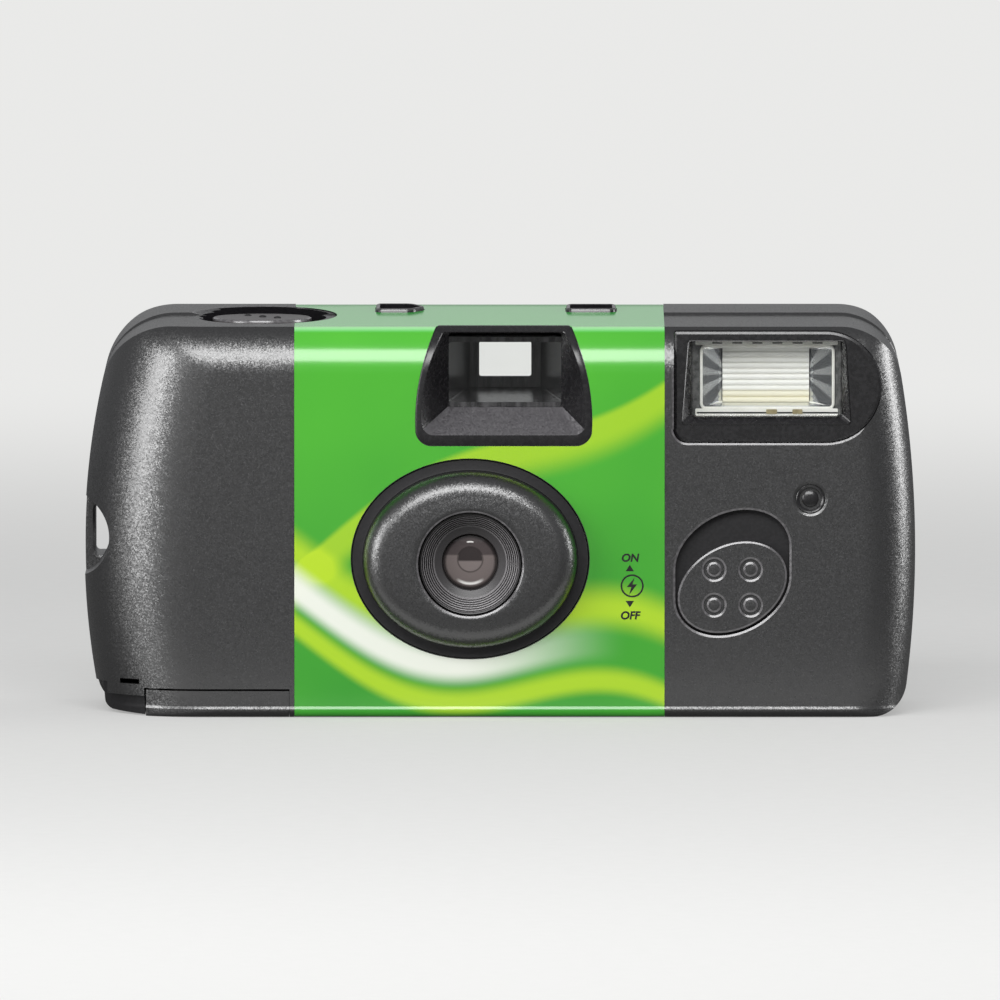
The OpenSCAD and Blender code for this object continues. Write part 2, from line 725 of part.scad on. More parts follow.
module mechanism_deck() color("#3a3a3e") difference() {
    union() {
        block(cartridge_x + 9, board[0] - 0.4, deck_front, deck_back, deck_z, deck_top);
        for (y = [lever_y - lever_w / 2 - 1.7, lever_y + lever_w / 2 + 0.3])
            block(lever_x - 1.6, lever_x + 1.6, y, y + 1.4, deck_z, lever_top + 0.8);
        translate([counter_x, counter_y, 0]) rod_z(post_r, deck_z, counter_z + counter_t + 0.3);
        translate([counter_x, counter_y, 0]) rod_z(post_r + 0.8, deck_z, counter_z - 0.1);
        translate([striker_x, striker_y, 0]) rod_z(post_r, deck_z, striker_z + 5.4);
        translate([pawl.x, pawl.y, 0]) rod_z(1, deck_z, wheel_z + wheel_h - 0.2);
    }
    translate([cartridge_x, cartridge_y, 0]) rod_z(chamber_r + 0.1, 0, 45);
    translate([roll_x, roll_y, 0]) rod_z(roll_wall_r, 0, 45);
    translate([sprocket_x, sprocket_y, 0]) rod_z(shaft_r + pin_gap, 0, 45);
    translate([lever_x, 0, lever_top - lever_t / 2]) rod_y(lever_pin_r, -12, 12);
}

module lens_holder() color(black) difference() {
    union() {
        block(-17, 8, y_holder, y_holder + 0.65, lens_z - 7.4, pivot_z + 0.8);
        at_lens() rod_y(lens_r + 1.7, y_holder - 3, y_holder + 0.1);
        for (p = [[6.2, 26.5], [6.2, lens_z - 5.8], [-15.5, lens_z - 5.8]])
            translate([p.x, 0, p.y]) rod_y(1.2, y_holder, y_plate);
    }
    at_lens() rod_y(lens_r + 0.1, y_holder - 4, y_holder);
    at_lens() rod_y(aperture_r, y_holder - 4, y_plate);
}

module taking_lens() color(clear) at_lens() difference() {
    intersection() {
        rod_y(lens_r, y_holder - 3, y_holder - 0.1);
        translate([0, y_holder - 2.9 + 16, 0]) sphere(16);
    }
    translate([0, y_holder + 19.4, 0]) sphere(20);
}

// The ring that holds the lens: a cone of fine steps keeps stray light off it
module lens_retainer() color("#2b2a2d") at_lens() translate([0, y_holder - 3.02, 0]) rotate([90, 0, 0]) {
    deep = y_holder - 3.02 - y_tip - 0.9;
    outer = mount_hole_r - slide_gap;
    flat_r = 4.75;
    step = (outer - 0.3 - flat_r) / ring_count;
    rise = (deep - 1) / ring_count;
    rotate_extrude() polygon(concat(
        [[lens_r - 0.85, 0], [outer, 0], [outer, deep], [outer - 0.3, deep]],
        [for (k = [0:ring_count - 1]) each [
            [outer - 0.3 - step * k, deep - rise * (k + 1)],
            [outer - 0.3 - step * (k + 1), deep - rise * (k + 0.6)]]],
        [[flat_r, 1], [lens_r - 0.85, 1]]));
}

module shutter_blade() color("#4a4b4e") difference() {
    along_y(y_blade, y_blade + blade_t) {
        translate([lens_x, lens_z]) circle(3.2);
        translate([pivot_x, pivot_z]) circle(2);
        translate([pivot_x, pivot_z]) rotate(atan2(lens_z - pivot_z, lens_x - pivot_x))
            translate([0, -1.5]) square([norm([lens_x - pivot_x, lens_z - pivot_z]), 3]);
        translate([pivot_x - 0.8, pivot_z]) square([1.6, striker_z + 1.2 - pivot_z]);
    }
    translate([pivot_x, 0, pivot_z]) rod_y(blade_pin_r + pin_gap, y_blade - 1, y_blade + 1);
}
module blade_spring() color(steel) translate([-17.2, y_blade - 0.45, pivot_z + 7.2]) rotate([0, 90, 0])
    coil(0.75, 0.15, 6, 4.2);

module striker() color(steel) translate([striker_x, striker_y, 0]) difference() {
    union() {
        rod_z(2.4, striker_z, striker_z + 2.8);
        for (arm = [[-77, striker_arm], [204, 4]]) rotate(arm[0])
            along_z(striker_z + 0.1, striker_z + 1.3) translate([0, -0.6]) square([arm[1], 1.2]);
    }
    rod_z(post_r + pin_gap, striker_z - 1, striker_z + 4);
}
module striker_spring() color(steel) translate([striker_x, striker_y, striker_z + 3.1])
    coil(1.8, 0.22, 3, 1.9);

module shutter_button() color(charcoal) union() {
    at_button() intersection() {
        rod_z(button_r, flange_z - 0.1, body_h);
        translate([0, 0, top_button - 0.1 - 60]) sphere(60, $fn = 160);
    }
    at_button() rod_z(button_r + 0.7, flange_z - flange_t, flange_z);
    translate([button_x, lever_y, 0]) rod_z(stem_r, lever_top + slide_gap, flange_z);
}
module release_lever() color(steel) difference() {
    union() {
        block(button_x - 1.8, spring_x + 1.2, lever_y - lever_w / 2, lever_y + lever_w / 2,
            lever_top - lever_t, lever_top);
        translate([lever_x, 0, lever_top - lever_t / 2])
            rod_y(1.4, lever_y - lever_w / 2, lever_y + lever_w / 2);
    }
    translate([lever_x, 0, lever_top - lever_t / 2]) rod_y(lever_pin_r + pin_gap, -12, 12);
}
module release_pin() color(steel) translate([lever_x, lever_y, lever_top - lever_t / 2])
    rod_y(lever_pin_r, -lever_w / 2 - 1.7, lever_w / 2 + 1.7);
module release_spring() color(steel) translate([spring_x, lever_y, deck_top + 0.25])
    coil(0.85, 0.18, 7, lever_top - lever_t - deck_top - 0.5);

module advance_wheel() color("#2b2a2d") translate([cartridge_x, cartridge_y, 0]) union() {
    difference() {
        rod_z(wheel_r, wheel_z, wheel_z + wheel_h);
        for (k = [0:47]) rotate(k * 7.5) translate([wheel_r + 0.25, 0, 0])
            rod_z(0.55, wheel_z - 1, wheel_z + wheel_h + 1);
        ring_z(5, 10.5, wheel_z + wheel_h - 0.8, wheel_z + wheel_h + 1);
    }
    rod_z(drive_r, cartridge_top - 5, wheel_z + 0.1);
}
module wheel_pawl() color(steel) translate([pawl.x, pawl.y, 0]) difference() {
    reach = [cartridge_x, cartridge_y] - pawl;
    union() {
        rod_z(1.5, wheel_z + 0.4, wheel_z + 2);
        rotate(atan2(reach.y, reach.x)) along_z(wheel_z + 0.5, wheel_z + 1.9)
            translate([0, -0.3]) square([norm(reach) - wheel_r - slide_gap, 0.6]);
    }
    rod_z(1, wheel_z - 1, wheel_z + 4);
}

module cartridge_shell() color("#7a9a4a") difference() {
    union() {
        translate([cartridge_x, cartridge_y, 0]) rod_z(cartridge_r, cartridge_z + 0.8, cartridge_top - 0.8);
        block(cartridge_x + 5.5, lip_end, film_at(lip_end) - 0.9, film_at(lip_end) + 1.2,
            cartridge_z + 0.8, cartridge_top - 0.8);
    }
    translate([cartridge_x, cartridge_y, 0]) rod_z(cartridge_r - 0.4, 0, 60);
    block(cartridge_x + 3, lip_end + 1, film_at(lip_end) - 0.35, film_at(lip_end) + 0.5,
        film_low - 0.3, film_top + 0.3);
}
module cartridge_caps() color(black) for (z = [cartridge_z, cartridge_top - 0.8])
    translate([cartridge_x, cartridge_y, 0]) ring_z(journal_r + slide_gap, cartridge_r, z, z + 0.8);
module cartridge_spool() color(black) translate([cartridge_x, cartridge_y, 0]) difference() {
    union() {
        rod_z(spool_r, cartridge_z + 1.2, cartridge_top - 1.2);
        rod_z(journal_r, cartridge_z + 0.2, cartridge_top);
    }
    rod_z(drive_r, cartridge_top - 5, cartridge_top + 1);
}

module film_strip() color("#5b4632") difference() {
    x0 = lip_end - 1.6;
    x1 = roll_x + film_roll_r * path_slope;
    steps = 40;
    along_z(film_low, film_top) polygon(concat(
        [for (k = [0:steps]) let (x = x0 + (x1 - x0) * k / steps) [x, film_at(x)]],
        [for (k = [steps:-1:0]) let (x = x0 + (x1 - x0) * k / steps) [x, film_at(x) + film_t]]));
    for (k = [-4:6], z = [film_low + 2, film_top - 4.8])
        block(lens_x + 4.75 * k - 1, lens_x + 4.75 * k + 1, y_film - 3, y_film + 1, z, z + 2.8);
}
module film_roll() color("#4a3a2c") translate([roll_x, roll_y, 0])
    ring_z(core_r, film_roll_r, film_low, film_top);
module supply_spool() color(black) translate([roll_x, roll_y, 0]) union() {
    rod_z(core_r, film_low - 0.5, film_top - 1.5);
    rod_z(shaft_r, wall + 0.3, film_low);
}
module sprocket_wheel() color("#d8d5cc") translate([sprocket_x, sprocket_y, 0]) union() {
    rod_z(sprocket_r - 1.1, sprocket_z, sprocket_z + sprocket_t);
    for (k = [0:7]) rotate(k * 45 + 11) along_z(sprocket_z, sprocket_z + sprocket_t)
        polygon([[sprocket_r - 1.5, -0.8], [sprocket_r, -0.35],
            [sprocket_r, 0.35], [sprocket_r - 1.5, 0.8]]);
    rod_z(shaft_r, sprocket_z - 1.6, counter_z - 0.4);
    rod_z(1, counter_z - 0.5, counter_z + counter_t);
    rotate(60) along_z(counter_z, counter_z + counter_t) translate([0, -0.4]) square([1.6, 0.8]);
}
module counter_disc() color("#e9e7df") translate([counter_x, counter_y, 0]) difference() {
    rod_z(counter_r, counter_z, counter_z + counter_t);
    for (k = [0:29]) rotate(k * 12) translate([counter_r + 0.1, 0, 0])
        rod_z(0.45, counter_z - 1, counter_z + 2);
    rod_z(post_r + pin_gap, counter_z - 1, counter_z + 2);
}
module counter_window() color(clear) intersection() {
    along_z(counter_z + counter_t + 0.4, body_h) counter_hole(-0.1);
    case_form(0.5);
}

module finder_front_lens() color(clear) difference() {
    translate([finder_x, 0, finder_z]) block(-finder_w / 2 - 0.6, finder_w / 2 + 0.6,
        y_finder + 0.02, y_finder + 1.5, -finder_h / 2 - 0.5, finder_h / 2);
    translate([finder_x, y_finder + 0.6 - 48, finder_z]) sphere(48, $fn = 160);
}
module finder_tube() color("#2e2d30") difference() {
    union() {
        finder_loft(0);
        for (y = [-4, 5]) block(finder_x - 1, finder_x + 1, y, y + 2, deck_top, tube_z - 3.4);
    }
    finder_loft(0.8);
}
module finder_loft(i) hull() {
    along_y(tube_front - i, tube_front + 0.1)
        at_flat(finder_x, tube_z, tube_w[0] - 2 * i, tube_h[0] - 2 * i);
    along_y(tube_back - 0.1, tube_back + i)
        at_flat(finder_x, tube_z, tube_w[1] - 2 * i, tube_h[1] - 2 * i);
}
module finder_eyepiece() color(clear) intersection() {
    translate([finder_x, 0, tube_z]) block(-eyepiece_w / 2 - 0.7, eyepiece_w / 2 + 0.7,
        tube_back + 0.1, y_rear_in - 0.05, -eyepiece_h / 2 - 0.7, eyepiece_h / 2 + 0.7);
    translate([finder_x, y_rear_in - 0.05 - 30, tube_z]) sphere(30, $fn = 160);
}

module flash_window() color(clear) union() {
    along_y(y_window, y_window + window_t) window_shape(0);
    along_y(y_window + window_t - 0.1, y_mirror) translate([flash_x, flash_z - flange_edge / 2])
        square([flash_w + 2 * flange_edge, flash_h + flange_edge], center = true);
}
// The bright trough behind the window: a parabola pushed along the tube, with two end walls
function bowl(t) = [for (k = [-10:10]) let (z = (mirror_h / 2 + t) * k / 10)
    [y_mirror + 0.02 + mirror_d + t - pow(z, 2) * (mirror_d + t) / pow(mirror_h / 2 + t, 2), flash_z + z]];
module flash_reflector() color("#dfe1e2") difference() {
    along_x(flash_x - mirror_w / 2, flash_x + mirror_w / 2) polygon(bowl(mirror_t));
    along_x(flash_x - mirror_w / 2 + mirror_t, flash_x + mirror_w / 2 - mirror_t) polygon(bowl(0));
    translate([0, tube_y, flash_z]) rod_x(tube_r + 0.1, flash_x - 20, flash_x + 20);
}
module flash_tube() color("#f1f1ee") translate([flash_x, tube_y, flash_z])
    rod_x(tube_r, -mirror_w / 2 - 0.4, mirror_w / 2 + 0.4);
module tube_caps() color(steel) for (side = [-1, 1]) translate([flash_x, tube_y, flash_z])
    mirror([side < 0 ? 1 : 0, 0, 0]) rod_x(tube_r - 0.1, mirror_w / 2 + 0.4, mirror_w / 2 + 2.6);

module flash_board() color("#2f6b46")
    block(board[0], board[1], y_board, y_board + board_t, board[2], board[3]);
module main_capacitor() color("#26262a") translate([capacitor_x, capacitor_y, 0]) rod_z(capacitor_r, 4, 34);
module transformer() color("#8c7a4a")
    block(board[1] - 7.9, board[1] - 0.9, y_board + board_t, y_board + board_t + 7, 15, 24);
module trigger_coil() color("#8a4a2c")
    translate([board[1] - 4.5, y_board + board_t + 2, 0]) rod_z(2, 27, 34);
module resistors() color("#c9a36b") for (z = [8, 12, 33.5])
    translate([board[1] - 7.5, y_board - 0.8, z]) rod_x(0.8, 0, 5);
module battery() color("#b98b2f") translate([0, battery_y, battery_z]) union() {
    rod_x(battery_r, battery_x0, battery_x1 - 0.9);
    rod_x(1.9, battery_x1 - 1, battery_x1);
}
module contact_negative() color(steel) block(battery_x0 - 0.5, battery_x0 - 0.1,
    battery_y - 3, battery_y + 3, battery_z - 3, battery_z + 3);
module contact_positive() color(steel) union() {
    block(battery_x1 + 0.1, battery_x1 + 0.5, y_board + 0.2, battery_y + 3, battery_z - 3, battery_z + 3);
    block(battery_x1 + 0.1, board[0], y_board + 0.2, y_board + 0.6, battery_z - 1.5, battery_z + 1.5);
}
module switch_contact() color(steel) union() {
    block(switch_x - 1.2, switch_x + 1.2, y_board - 0.3, y_board, 13, 25);
    translate([switch_x, y_board - 0.3, 19]) rod_y(0.8, -0.6, 0.1);
}
module sync_contact() color(steel) block(-7.1, -6.7, y_front + 7.6, y_front + 9.6, deck_top, deck_top + 1.6);
module ready_lamp() color("#f0a060") translate([lamp_x, window_y0 + 2.6, 0])
    rod_z(1.5, deck_top, deck_top + 5.5);
module light_pipe() color(clear) union() {
    translate([lamp_x, window_y0 + 2.6, 0]) rod_z(1.6, deck_top + 5.7, body_h - 2);
    intersection() {
        along_z(body_h - 2.5, body_h) lamp_hole(-0.1);
        case_form(0.5);
    }
}

module flash_switch() color("#4a484b") translate([switch_x, 0, switch_z]) difference() {
    union() {
        along_y(switch_front, y_inside + 0.2) knob_shape(0);
        along_y(y_inside + 0.06, y_inside + switch_plate_t)
            square([switch_plate[0], switch_plate[1]], center = true);
    }
    for (x = [-2.39, 2.39], z = [-2.28, 2.28]) translate([x, 0, z]) difference() {
        rod_y(1.42, switch_front - 1, switch_front + 0.5);
        rod_y(0.9, switch_front - 2, switch_front + 1);
    }
}

front_cover();
rear_cover();
wrap_label();
film_door();
chassis();
mechanism_deck();
lens_holder();
taking_lens();
lens_retainer();
shutter_blade();
blade_spring();
striker();
striker_spring();
shutter_button();
release_lever();
release_pin();
release_spring();
advance_wheel();
wheel_pawl();
cartridge_shell();
cartridge_caps();
cartridge_spool();
film_strip();
film_roll();
supply_spool();
sprocket_wheel();
counter_disc();
counter_window();
finder_front_lens();
finder_tube();
finder_eyepiece();
flash_window();
flash_reflector();
flash_tube();
tube_caps();
flash_board();
main_capacitor();
transformer();
trigger_coil();
resistors();
battery();
contact_negative();
contact_positive();
switch_contact();
sync_contact();
ready_lamp();
light_pipe();
flash_switch();
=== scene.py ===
# %% [markdown]
# # A single-use film camera
# A split plastic case in a printed band, with a lens in a raised oval, a viewfinder, a flash and its
# switch. The solid model gives every place and every joint. This file dresses it: each piece that
# shows is built again as a finer mesh in the same place, rides on the same body and gets a finish.

# %% Load the solid model
import json
from math import sin, cos, tan, pi, radians, sqrt, atan2
import bpy
import bmesh
import numpy as np
from mathutils import Matrix


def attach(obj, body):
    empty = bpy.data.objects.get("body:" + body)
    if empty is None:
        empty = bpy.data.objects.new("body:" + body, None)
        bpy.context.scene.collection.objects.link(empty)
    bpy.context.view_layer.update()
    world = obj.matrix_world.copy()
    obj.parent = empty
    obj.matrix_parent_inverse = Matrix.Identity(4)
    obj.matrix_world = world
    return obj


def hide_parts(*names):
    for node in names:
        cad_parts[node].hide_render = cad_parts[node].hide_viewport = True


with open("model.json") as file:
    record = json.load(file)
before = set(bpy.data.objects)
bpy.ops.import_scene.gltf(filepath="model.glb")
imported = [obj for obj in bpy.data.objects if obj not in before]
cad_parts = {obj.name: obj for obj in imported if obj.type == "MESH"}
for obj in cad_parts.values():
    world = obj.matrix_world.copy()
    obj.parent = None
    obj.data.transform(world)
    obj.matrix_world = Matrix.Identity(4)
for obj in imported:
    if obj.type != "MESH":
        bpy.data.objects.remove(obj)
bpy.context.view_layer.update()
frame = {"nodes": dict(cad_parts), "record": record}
MM = 0.001

# %% [markdown]
# ## Tools for moulded shapes
# Moulded plastic is a closed wall with rims, pockets and windows cut in it. Such a shape could be
# sculpted or modelled with subdivision, but its holes would soften. Here a piece is lofted through
# rings of points, and pockets are cut by booleans, so every rim stays crisp and every mesh closed.

# %% Closed meshes, lofts and cuts
def add(name, data):
    """A new object at the origin."""
    made = bpy.data.objects.new(name, data)
    bpy.context.scene.collection.objects.link(made)
    return made


def piece_from(name, points, faces):
    """A closed piece from points in millimetres, its faces turned outwards."""
    mesh = bpy.data.meshes.new(name)
    mesh.from_pydata([[c * MM for c in p] for p in points], [], faces)
    shape = bmesh.new()
    shape.from_mesh(mesh)
    bmesh.ops.remove_doubles(shape, verts=shape.verts, dist=1e-7)
    bmesh.ops.recalc_face_normals(shape, faces=shape.faces)
    shape.to_mesh(mesh)
    shape.free()
    return add(name, mesh)


def loft(name, rings, closed=False):
    """A solid through rings of equal point count; closed joins the last ring to the first, as on a frame."""
    n, k = len(rings[0]), len(rings)
    faces = []
    for a in range(k if closed else k - 1):
        b = (a + 1) % k
        faces += [[a * n + i, a * n + (i + 1) % n, b * n + (i + 1) % n, b * n + i] for i in range(n)]
    if not closed:
        faces += [list(range(n))[::-1], [(k - 1) * n + i for i in range(n)]]
    return piece_from(name, [p for ring in rings for p in ring], faces)


def baked(piece):
    """The mesh of an object with its modifiers applied."""
    graph = bpy.context.evaluated_depsgraph_get()
    return bpy.data.meshes.new_from_object(piece.evaluated_get(graph), depsgraph=graph)


def settle(piece):
    """Keeps a piece as the plain mesh that its modifiers make."""
    mesh = baked(piece)
    piece.modifiers.clear()
    old, piece.data = piece.data, mesh
    bpy.data.meshes.remove(old)
    mesh.name = piece.name
    return piece


def carve(piece, *tools, how="DIFFERENCE"):
    """Cuts a piece with one tool after another, or joins or crosses them. The tools are used up."""
    for tool in tools:
        work = piece.modifiers.new("cut", "BOOLEAN")
        work.operation, work.solver, work.object = how, "MANIFOLD", tool
        settle(piece)
        bpy.data.objects.remove(tool)
        if not piece.data.polygons:
            raise RuntimeError("nothing left of " + piece.name)
    return piece


def again(piece, name):
    """A second object with its own copy of a piece's mesh."""
    return add(name, piece.data.copy())


def dress(piece, material, slot, *nodes, body="camera", angle=35):
    """Shades a finished piece, gives it its finish and its body, and hides the solids it stands for."""
    piece.data.materials.clear()
    piece.data.materials.append(material)
    piece.data.shade_smooth()
    piece.data.set_sharp_from_angle(angle=radians(angle))
    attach(piece, body)
    if nodes:
        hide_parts(*nodes)
    print(piece.name, len(piece.data.polygons), "faces on", body)
    return piece


def second_finish(piece, finish, chosen):
    """Gives another finish to the faces that pass a test of their middle, in millimetres, and their normal."""
    piece.data.materials.append(finish)
    slot = len(piece.data.materials) - 1
    for face in piece.data.polygons:
        if chosen(face.center / MM, face.normal):
            face.material_index = slot


CASE, BLACK, PRINT = "charcoal_plastic", "black_plastic", "printed_label"
CLEAR, BRIGHT = "clear_plastic", "bright_reflector"

# %% [markdown]
# ## Outlines
# Most openings on the camera are seen from the front: ovals, rounded frames, a round-ended panel.
# Each is a ring of points in X and Z. A ring is grown along its normals to flare a pocket's rim.

# %% Ovals, frames and flared cutters
def circle(r, n):
    """A ring of n points round the origin."""
    return [(r * cos(2 * pi * i / n), r * sin(2 * pi * i / n)) for i in range(n)]


def arc(x, z, r, a0, a1, n):
    """Points along a part of a circle."""
    return [(x + r * cos(a), z + r * sin(a)) for a in np.linspace(a0, a1, n)]


def oval(x, z, rx, rz, tilt=0.0, n=96):
    """An oval ring, turned by a tilt in degrees."""
    c, s = cos(radians(tilt)), sin(radians(tilt))
    ring = [(rx * a, rz * b) for a, b in circle(1, n)]
    return [(x + a * c - b * s, z + a * s + b * c) for a, b in ring]


def rounded(corners, rounds, n=8):
    """A ring through corners given anticlockwise, rounded by one radius or by one each."""
    ring, places = [], np.array(corners, float)
    for i, (p, r) in enumerate(zip(places, np.broadcast_to(rounds, len(places)))):
        before, after = places[i - 1] - p, places[(i + 1) % len(places)] - p
        before, after = before / np.linalg.norm(before), after / np.linalg.norm(after)
        half = np.arccos(np.clip(before @ after, -1, 1)) / 2
        start, end = p + before * r / tan(half), p + after * r / tan(half)
        middle = p + (before + after) / np.linalg.norm(before + after) * r / sin(half)
        a0, a1 = atan2(*(start - middle)[::-1]), atan2(*(end - middle)[::-1])
        ring += arc(*middle, r, a0, a1 + (2 * pi if a1 < a0 else 0), n + 1)
    return ring


def rectangle(x0, x1, z0, z1, r, n=8):
    """A rounded rectangle."""
    return rounded([(x0, z0), (x1, z0), (x1, z1), (x0, z1)], r, n)


def grown(ring, by):
    """A ring moved outwards along its normals."""
    p = np.array(ring)
    along = np.roll(p, -1, 0) - np.roll(p, 1, 0)
    out = np.c_[along[:, 1], -along[:, 0]]
    return [tuple(q) for q in p + by * out / np.linalg.norm(out, axis=1)[:, None]]


def at_depth(ring, y):
    """A front-view ring set at a depth."""
    return [(x, y, z) for x, z in ring]


def plug(name, ring, *stations):
    """A solid along Y from a front-view ring: pairs of depth and growth, so that a rim can flare."""
    return loft(name, [at_depth(grown(ring, by), y) for y, by in stations])


def slab(name, ring, *depths):
    """A straight solid along Y from a front-view ring."""
    return loft(name, [at_depth(ring, y) for y in depths])


def cutter(ring, y0, y1):
    """A straight cut along Y."""
    return slab("cutter", ring, y0, y1)


def hoop(name, *stations):
    """A closed frame through pairs of front-view ring and depth."""
    return loft(name, [at_depth(ring, y) for ring, y in stations], closed=True)


def post(ring, *stations):
    """A solid along Z from a ring in X and Y: pairs of height and growth."""
    return loft("post", [[(x, y, z) for x, y in grown(ring, by)] for z, by in stations])


def box(x0, x1, y0, y1, z0, z1):
    """A plain cutting block."""
    return slab("block", [(x0, z0), (x1, z0), (x1, z1), (x0, z1)], y0, y1)


def turned(name, profile, x, y, z, axis="Y", n=96, closed=False):
    """A piece turned about an axis through a point; the profile is radius and place along the axis."""
    rings = []
    for r, t in profile:
        rings.append([(x + a, y + t, z + b) if axis == "Y" else (x + a, y + b, z + t) for a, b in circle(r, n)])
    return loft(name, rings, closed)


print("tools ready")

# %% [markdown]
# ## Finishes
# Every finish is a small web of nodes. Its numbers come from the place on the piece in millimetres,
# so a grain of an eighth of a millimetre keeps that size on every piece. Arithmetic on a socket adds
# the maths node for it, which keeps a pattern readable as a formula.

# %% A web of nodes written as formulas
def shade(*rgb):
    """A colour of the photo, 0 to 255, as the linear light that nodes use."""
    return tuple(c / 12.92 if c <= 0.04045 else ((c + 0.055) / 1.055) ** 2.4 for c in (v / 255 for v in rgb))


def linear(*rgb):
    """A colour that is linear light already."""
    return rgb


class Wire:
    """One output socket. Arithmetic on it adds Math nodes to its web."""

    def __init__(self, web, socket):
        self.web, self.socket = web, socket

    def maths(self, how, first, second=0.0):
        return self.web.node("ShaderNodeMath", {0: first, 1: second}, operation=how)

    def sine(self): return self.maths("SINE", self)
    def size(self): return self.maths("ABSOLUTE", self)
    def most(self, other): return self.maths("MAXIMUM", self, other)
    def angle(self, other): return self.maths("ARCTAN2", self, other)


for sign, how in zip("add sub mul truediv pow".split(), "ADD SUBTRACT MULTIPLY DIVIDE POWER".split()):
    setattr(Wire, f"__{sign}__", lambda self, other, how=how: self.maths(how, self, other))
    setattr(Wire, f"__r{sign}__", lambda self, other, how=how: self.maths(how, other, self))


class Web:
    """A node tree and the one method that adds a node to it."""

    def __init__(self, tree):
        self.tree = tree

    def node(self, kind, sockets=None, out=0, **settings):
        made = self.tree.nodes.new(kind)
        for key, value in settings.items():
            setattr(made, key, value)
        for key, value in (sockets or {}).items():
            if isinstance(value, Wire):
                self.tree.links.new(value.socket, made.inputs[key])
            else:
                made.inputs[key].default_value = value
        if isinstance(out, tuple):
            return [Wire(self, made.outputs[o]) for o in out]
        return Wire(self, made.outputs[out]) if made.outputs else None


class Finish(Web):
    """A material: constants on its shader, patterns linked to it, places in millimetres."""

    def __init__(self, name, **constants):
        self.material = bpy.data.materials.new(name)
        self.material.use_nodes = True
        super().__init__(self.material.node_tree)
        self.shader = self.tree.nodes["Principled BSDF"]
        for key, value in constants.items():
            self.shader.inputs[key.replace("_", " ")].default_value = value
        place = self.node("ShaderNodeTexCoord", out="Object")
        self.place = self.vector("SCALE", {0: place, "Scale": 1 / MM})

    def vector(self, how, sockets):
        return self.node("ShaderNodeVectorMath", sockets, operation=how)

    def xyz(self):
        return self.node("ShaderNodeSeparateXYZ", {0: self.place}, (0, 1, 2))

    def noise(self, size, detail=2.0, place=None):
        grain = {"Vector": place or self.place, "Scale": 1 / size, "Detail": detail}
        return self.node("ShaderNodeTexNoise", grain)

    def ramp(self, value, low, high):
        return self.node("ShaderNodeMapRange", {"Value": value, "From Min": low, "From Max": high},
                         interpolation_type="SMOOTHSTEP")

    def band(self, value, rise, full, edge, end):
        """1 between two places, with a soft rise before and a soft end behind."""
        return self.ramp(value, rise, full) * (1 - self.ramp(value, edge, end))

    def mix(self, factor, first, second, to_light=shade):
        rgba = [c if isinstance(c, Wire) else (*to_light(*c), 1.0) for c in (first, second)]
        return self.node("ShaderNodeMix", {0: factor, 6: rgba[0], 7: rgba[1]}, 2, data_type="RGBA")

    def feed(self, **links):
        for key, wire in links.items():
            self.tree.links.new(wire.socket, self.shader.inputs[key.replace("_", " ")])
        return self.material

    def bump(self, height, depth):
        rise = {"Strength": 1.0, "Distance": depth * MM, "Height": height}
        return self.feed(Normal=self.node("ShaderNodeBump", rise))

    def textured(self, pattern, tone, dark, light, rough, depth):
        """Colours mixed by a tone, and one pattern in the gloss and the height."""
        self.feed(Base_Color=self.mix(tone, dark, light), Roughness=rough[0] + pattern * rough[1])
        return self.bump(pattern, depth)

    def mixed_surface(self, share, first, second):
        """Shows two shaders mixed by a share instead of the plain one."""
        both = self.node("ShaderNodeMixShader", {0: share, 1: first, 2: second})
        self.tree.links.new(both.socket, self.tree.nodes["Material Output"].inputs["Surface"])
        return self.material


print("finishes are webs of nodes")

# %% [markdown]
# ## Plastic, print, glass and metal
# The case is charcoal plastic with a fine spark-eroded grain that sparkles where light grazes it.
# The smooth black of the viewfinder and the lens seat is the same plastic from a polished mould.
# Clear windows let most light straight through and mirror a little more at a slant.

# %% The finishes of the outside
def moulded(name, dark, light, rough, grain, depth, gloss=0.7):
    """Plastic from a textured mould: grain in its height, its gloss and a little in its colour."""
    f = Finish(name, Specular_IOR_Level=gloss)
    fine, broad = f.noise(grain, 0.0), f.noise(9.0, 2.0)
    tone = f.ramp(fine * 0.7 + broad * 0.3, 0.35, 0.68)
    return f.textured(fine, tone, dark, light, (rough - 0.06, 0.12), depth)


def sparked(name, dark, light, rough, grain, tilt):
    """Plastic from a spark-eroded mould: every grain is a tiny facet that leans its own way."""
    f = Finish(name, Specular_IOR_Level=0.95, IOR=1.68)
    facet = f.node("ShaderNodeTexVoronoi", {"Vector": f.place, "Scale": 1 / grain}, "Color")
    tone = f.node("ShaderNodeSeparateXYZ", {0: facet})
    lean = f.vector("MULTIPLY_ADD", {0: facet, 1: (2 * tilt,) * 3, 2: (-tilt,) * 3})
    both = f.vector("ADD", {0: f.node("ShaderNodeNewGeometry", out="Normal"), 1: lean})
    return f.feed(Base_Color=f.mix(tone * 0.7 + f.noise(9.0) * 0.3, dark, light),
                  Roughness=rough - 0.05 + tone * 0.1, Normal=f.vector("NORMALIZE", {0: both}))


